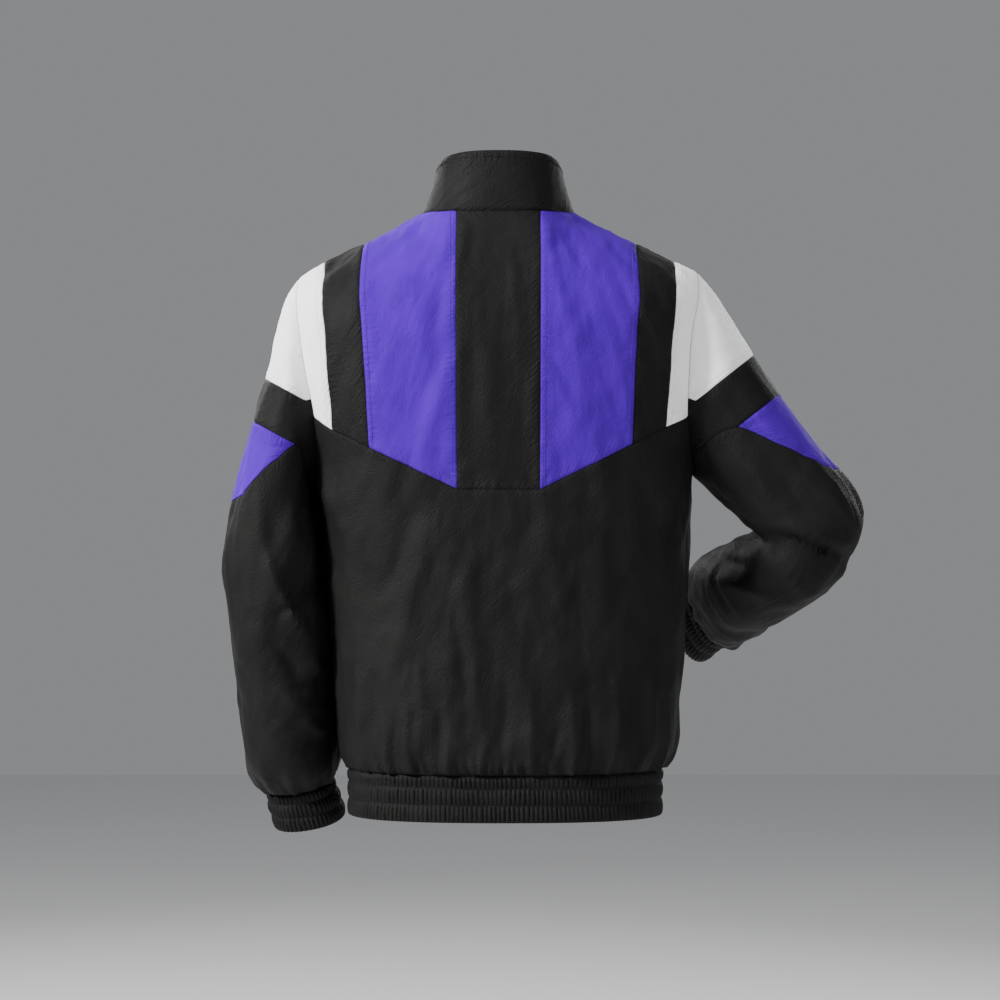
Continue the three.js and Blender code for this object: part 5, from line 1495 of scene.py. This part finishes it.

# %% [markdown]
# ** Spun polyester thread.** Two plies twisted together, dyed to match: it is matt, with painted shade between the plies and painted light on their crests.
#
# ** Woven polyester tape.** A herringbone weave about 0.6 mm a rib, drawn 1 mm here so that it shows, with painted shade in the valleys of the ribs and painted light on their crests. It is matt.
#
# **Moulded acetal.** The teeth come from a polished mould: hard, slightly waxy, with soft highlights.
#
# **Plated zinc casting.** Tumbled, then plated dark: a dim metal whose gloss is broken by fine tumbling marks.


# %% Thread
def thread(name, code):
    material, tree, surface = start_material(name)
    place = add(tree, "ShaderNodeTexCoord", (-900, 0)).outputs["Object"]
    plies = add(tree, "ShaderNodeTexWave", (-700, 0), {
        "Vector": place, "Scale": 900.0, "Distortion": 3.0, "Detail": 1.0}, bands_direction="DIAGONAL")
    # Painted shade and light: the colour follows the bands of the bump, 0.7 times as bright in the grooves between the
    # plies and 1.15 times on their crests.
    relief_shade = add(tree, "ShaderNodeMapRange", (-500, 0), {"Value": plies.outputs["Fac"], "To Min": 0.7, "To Max": 1.15})
    colour = add(tree, "ShaderNodeMix", (-300, 100), {
        0: 1.0, 6: from_hex(code), 7: relief_shade.outputs[0]}, data_type="RGBA", blend_type="MULTIPLY")
    bump = add(tree, "ShaderNodeBump", (-300, -200), {"Height": plies.outputs["Fac"], "Strength": 0.6, "Distance": 0.0001})
    tree.links.new(colour.outputs[2], surface.inputs["Base Color"])
    tree.links.new(bump.outputs["Normal"], surface.inputs["Normal"])
    surface.inputs["Roughness"].default_value = 0.7
    surface.inputs["Specular IOR Level"].default_value = 0.25
    return material


THREAD = {
    "black": thread("black spun polyester thread", "101010"),
    "purple": thread("purple spun polyester thread", "460C9C"),
    "white": thread("white spun polyester thread", "F4F4F4"),
}
print("threads:", list(THREAD))

# %% Woven tape
TAPE, tree, surface = start_material("black woven polyester tape")
flat = add(tree, "ShaderNodeTexCoord", (-1300, 0)).outputs["UV"]
twill = add(tree, "ShaderNodeMapping", (-1100, 0), {"Vector": flat, "Rotation": (0, 0, math.radians(58))})
ribs_of = add(tree, "ShaderNodeTexWave", (-900, 0), {
    "Vector": twill.outputs[0], "Scale": 320.0, "Distortion": 0.6, "Detail": 1.0, "Detail Scale": 2.0})
# Painted shade and light: the colour follows the ribs of the bump, 0.55 times as bright in their valleys and 1.2 times
# on their crests.
relief_shade = add(tree, "ShaderNodeMapRange", (-600, 100), {"Value": ribs_of.outputs["Fac"], "To Min": 0.55, "To Max": 1.2})
colour = add(tree, "ShaderNodeMix", (-400, 100), {
    0: 1.0, 6: from_hex("131314"), 7: relief_shade.outputs[0]}, data_type="RGBA", blend_type="MULTIPLY")
bump = add(tree, "ShaderNodeBump", (-400, -200), {"Height": ribs_of.outputs["Fac"], "Strength": 0.8, "Distance": 0.0003})
tree.links.new(colour.outputs[2], surface.inputs["Base Color"])
tree.links.new(bump.outputs["Normal"], surface.inputs["Normal"])
surface.inputs["Roughness"].default_value = 0.75
surface.inputs["Specular IOR Level"].default_value = 0.2
print("made", TAPE.name)

# %% Moulded acetal
ACETAL, tree, surface = start_material("black moulded acetal")
place = add(tree, "ShaderNodeTexCoord", (-1100, 0)).outputs["Object"]
mottle = add(tree, "ShaderNodeTexNoise", (-900, 0), {"Vector": place, "Scale": 420.0, "Detail": 3.0})
colour = add(tree, "ShaderNodeMix", (-500, 150), {
    0: mottle.outputs["Fac"], 6: from_hex("121214"), 7: from_hex("1C1C1F")}, data_type="RGBA")
rough = add(tree, "ShaderNodeMapRange", (-500, -50), {"Value": mottle.outputs["Fac"], "To Min": 0.28, "To Max": 0.46})
bump = add(tree, "ShaderNodeBump", (-500, -300), {"Height": mottle.outputs["Fac"], "Strength": 0.3, "Distance": 0.0001})
tree.links.new(colour.outputs[2], surface.inputs["Base Color"])
tree.links.new(rough.outputs[0], surface.inputs["Roughness"])
tree.links.new(bump.outputs["Normal"], surface.inputs["Normal"])
surface.inputs["IOR"].default_value = 1.48
print("made", ACETAL.name)

# %% Plated zinc
ZINC, tree, surface = start_material("dark plated zinc casting")
place = add(tree, "ShaderNodeTexCoord", (-1100, 0)).outputs["Object"]
marks = add(tree, "ShaderNodeTexNoise", (-900, 0), {
    "Vector": place, "Scale": 900.0, "Detail": 4.0, "Roughness": 0.7, "Distortion": 1.2})
colour = add(tree, "ShaderNodeMix", (-500, 150), {
    0: marks.outputs["Fac"], 6: from_hex("3A3B3F"), 7: from_hex("5C5D62")}, data_type="RGBA")
rough = add(tree, "ShaderNodeMapRange", (-500, -50), {"Value": marks.outputs["Fac"], "To Min": 0.2, "To Max": 0.42})
bump = add(tree, "ShaderNodeBump", (-500, -300), {"Height": marks.outputs["Fac"], "Strength": 0.25, "Distance": 0.0001})
tree.links.new(colour.outputs[2], surface.inputs["Base Color"])
tree.links.new(rough.outputs[0], surface.inputs["Roughness"])
tree.links.new(bump.outputs["Normal"], surface.inputs["Normal"])
surface.inputs["Metallic"].default_value = 1.0
print("made", ZINC.name)

# %% [markdown]
# ## Dressing the frame
#
# Each cloth piece takes its dye, hides the plain solid that it stands for, and rides on the jacket's body.

# %% Dyes and solids
DRESS = {
    "cloth_back_centre": ("black", ["back_yoke_centre"]),
    "cloth_back_lower": ("black", ["back_lower"]),
    "cloth_hem_band": ("black", ["hem_band"]),
    "cloth_collar": ("black", ["collar"]),
}
for arm in ARM:
    DRESS["cloth_back_purple_" + arm] = ("purple", ["back_yoke_purple_" + arm])
    DRESS["cloth_back_side_" + arm] = ("black", ["back_yoke_side_" + arm])
    DRESS["cloth_back_white_" + arm] = ("white", ["back_yoke_white_" + arm])
    DRESS["cloth_front_yoke_" + arm] = ("purple", ["front_yoke_" + arm])
    DRESS["cloth_front_lower_" + arm] = ("black", ["front_lower_" + arm])
    DRESS["cloth_sleeve_cap_" + arm] = ("white", ["sleeve_cap_" + arm])
    DRESS["cloth_sleeve_band_" + arm] = ("black", ["sleeve_band_" + arm])
    DRESS["cloth_sleeve_kite_" + arm] = ("purple", ["sleeve_kite_" + arm])
    DRESS["cloth_sleeve_lower_" + arm] = ("black", ["sleeve_lower_" + arm])
    DRESS["cloth_cuff_" + arm] = ("black", ["cuff_" + arm])
for side in ARM:
    DRESS["zip_tape_woven_" + side] = ("tape", ["zip_tape_" + side])
DYES = {"black": BLACK, "purple": PURPLE, "white": WHITE, "tape": TAPE}
for name, (dye, nodes) in DRESS.items():
    made = PIECES[name]
    piece = made["piece"]
    piece.data.materials.clear()
    piece.data.materials.append(DYES[dye])
    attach(piece, "jacket")
    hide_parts(*nodes)
    width, length = made["flat"]
print(len(DRESS), "cloth pieces dressed")


# %% Zip and thread
def finish_hard(piece, material, body="jacket"):
    piece.data.materials.clear()
    piece.data.materials.append(material)
    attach(piece, body)


for side in ARM:
    finish_hard(HARD["zip_teeth_" + side], ACETAL)
finish_hard(HARD["zip_box"], ACETAL)
finish_hard(HARD["cast_zip_slider"], ZINC)
finish_hard(HARD["cast_zip_tab"], ZINC, "pull_tab")
for name, (node, _) in CAST.items():
    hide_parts(node)
for dye, piece in THREADS.items():
    finish_hard(piece, THREAD[dye])
print("zip parts and threads dressed:", len(HARD) + len(THREADS))

# %% [markdown]
# ## Stage, light and camera
#
# A pale floor and a soft studio: one large key light above the camera's left, a wide fill, and two lights behind
# that draw the edge of the dark cloth. The camera stands level behind the jacket, three metres away.

# %% Stage
bpy.ops.object.select_all(action="DESELECT")
bpy.ops.mesh.primitive_plane_add(size=14, location=(0, 0, -1.35))
floor = bpy.context.object
floor.name = "floor"
material, tree, surface = start_material("pale studio paint")
surface.inputs["Base Color"].default_value = from_hex("DADADA")
surface.inputs["Roughness"].default_value = 0.8
floor.data.materials.append(material)
print("floor at", floor.location[2], "m")


# %% Light and camera
def soft_light(name, at, towards, size, power):
    bpy.ops.object.light_add(type="AREA", location=at)
    lamp = bpy.context.object
    lamp.name = name
    lamp.data.shape = "DISK"
    lamp.data.size = size
    lamp.data.energy = power
    away = lamp.location - type(lamp.location)(towards)
    lamp.rotation_mode = "QUATERNION"
    lamp.rotation_quaternion = away.to_track_quat("Z", "Y")
    return lamp


soft_light("key", (2.5, 1.3, 1.2), (0, 0, -0.25), 0.8, 235)
soft_light("fill", (-2.2, 2.2, 0.2), (0, 0, -0.3), 1.6, 34)
soft_light("top", (0.0, 0.3, 2.2), (0, 0, -0.2), 1.4, 28)
soft_light("front left", (1.5, -2.3, 0.9), (0, 0, -0.3), 1.4, 48)
soft_light("front right", (-1.5, -2.3, 0.6), (0, 0, -0.3), 1.6, 32)

world = bpy.data.worlds.new("soft studio")
bpy.context.scene.world = world
world.use_nodes = True
world.node_tree.nodes["Background"].inputs["Color"].default_value = from_hex("E6E8EC")
world.node_tree.nodes["Background"].inputs["Strength"].default_value = 0.32

bpy.ops.object.camera_add(location=(-1.7 * MM, 3.0, -322.6 * MM), rotation=(math.pi / 2, 0, math.pi))
camera = bpy.context.object
camera.data.sensor_width = 36
camera.data.lens = 36 * 3000 / 1120
bpy.context.scene.camera = camera
print("camera", list(camera.location), "lens", round(camera.data.lens, 1))
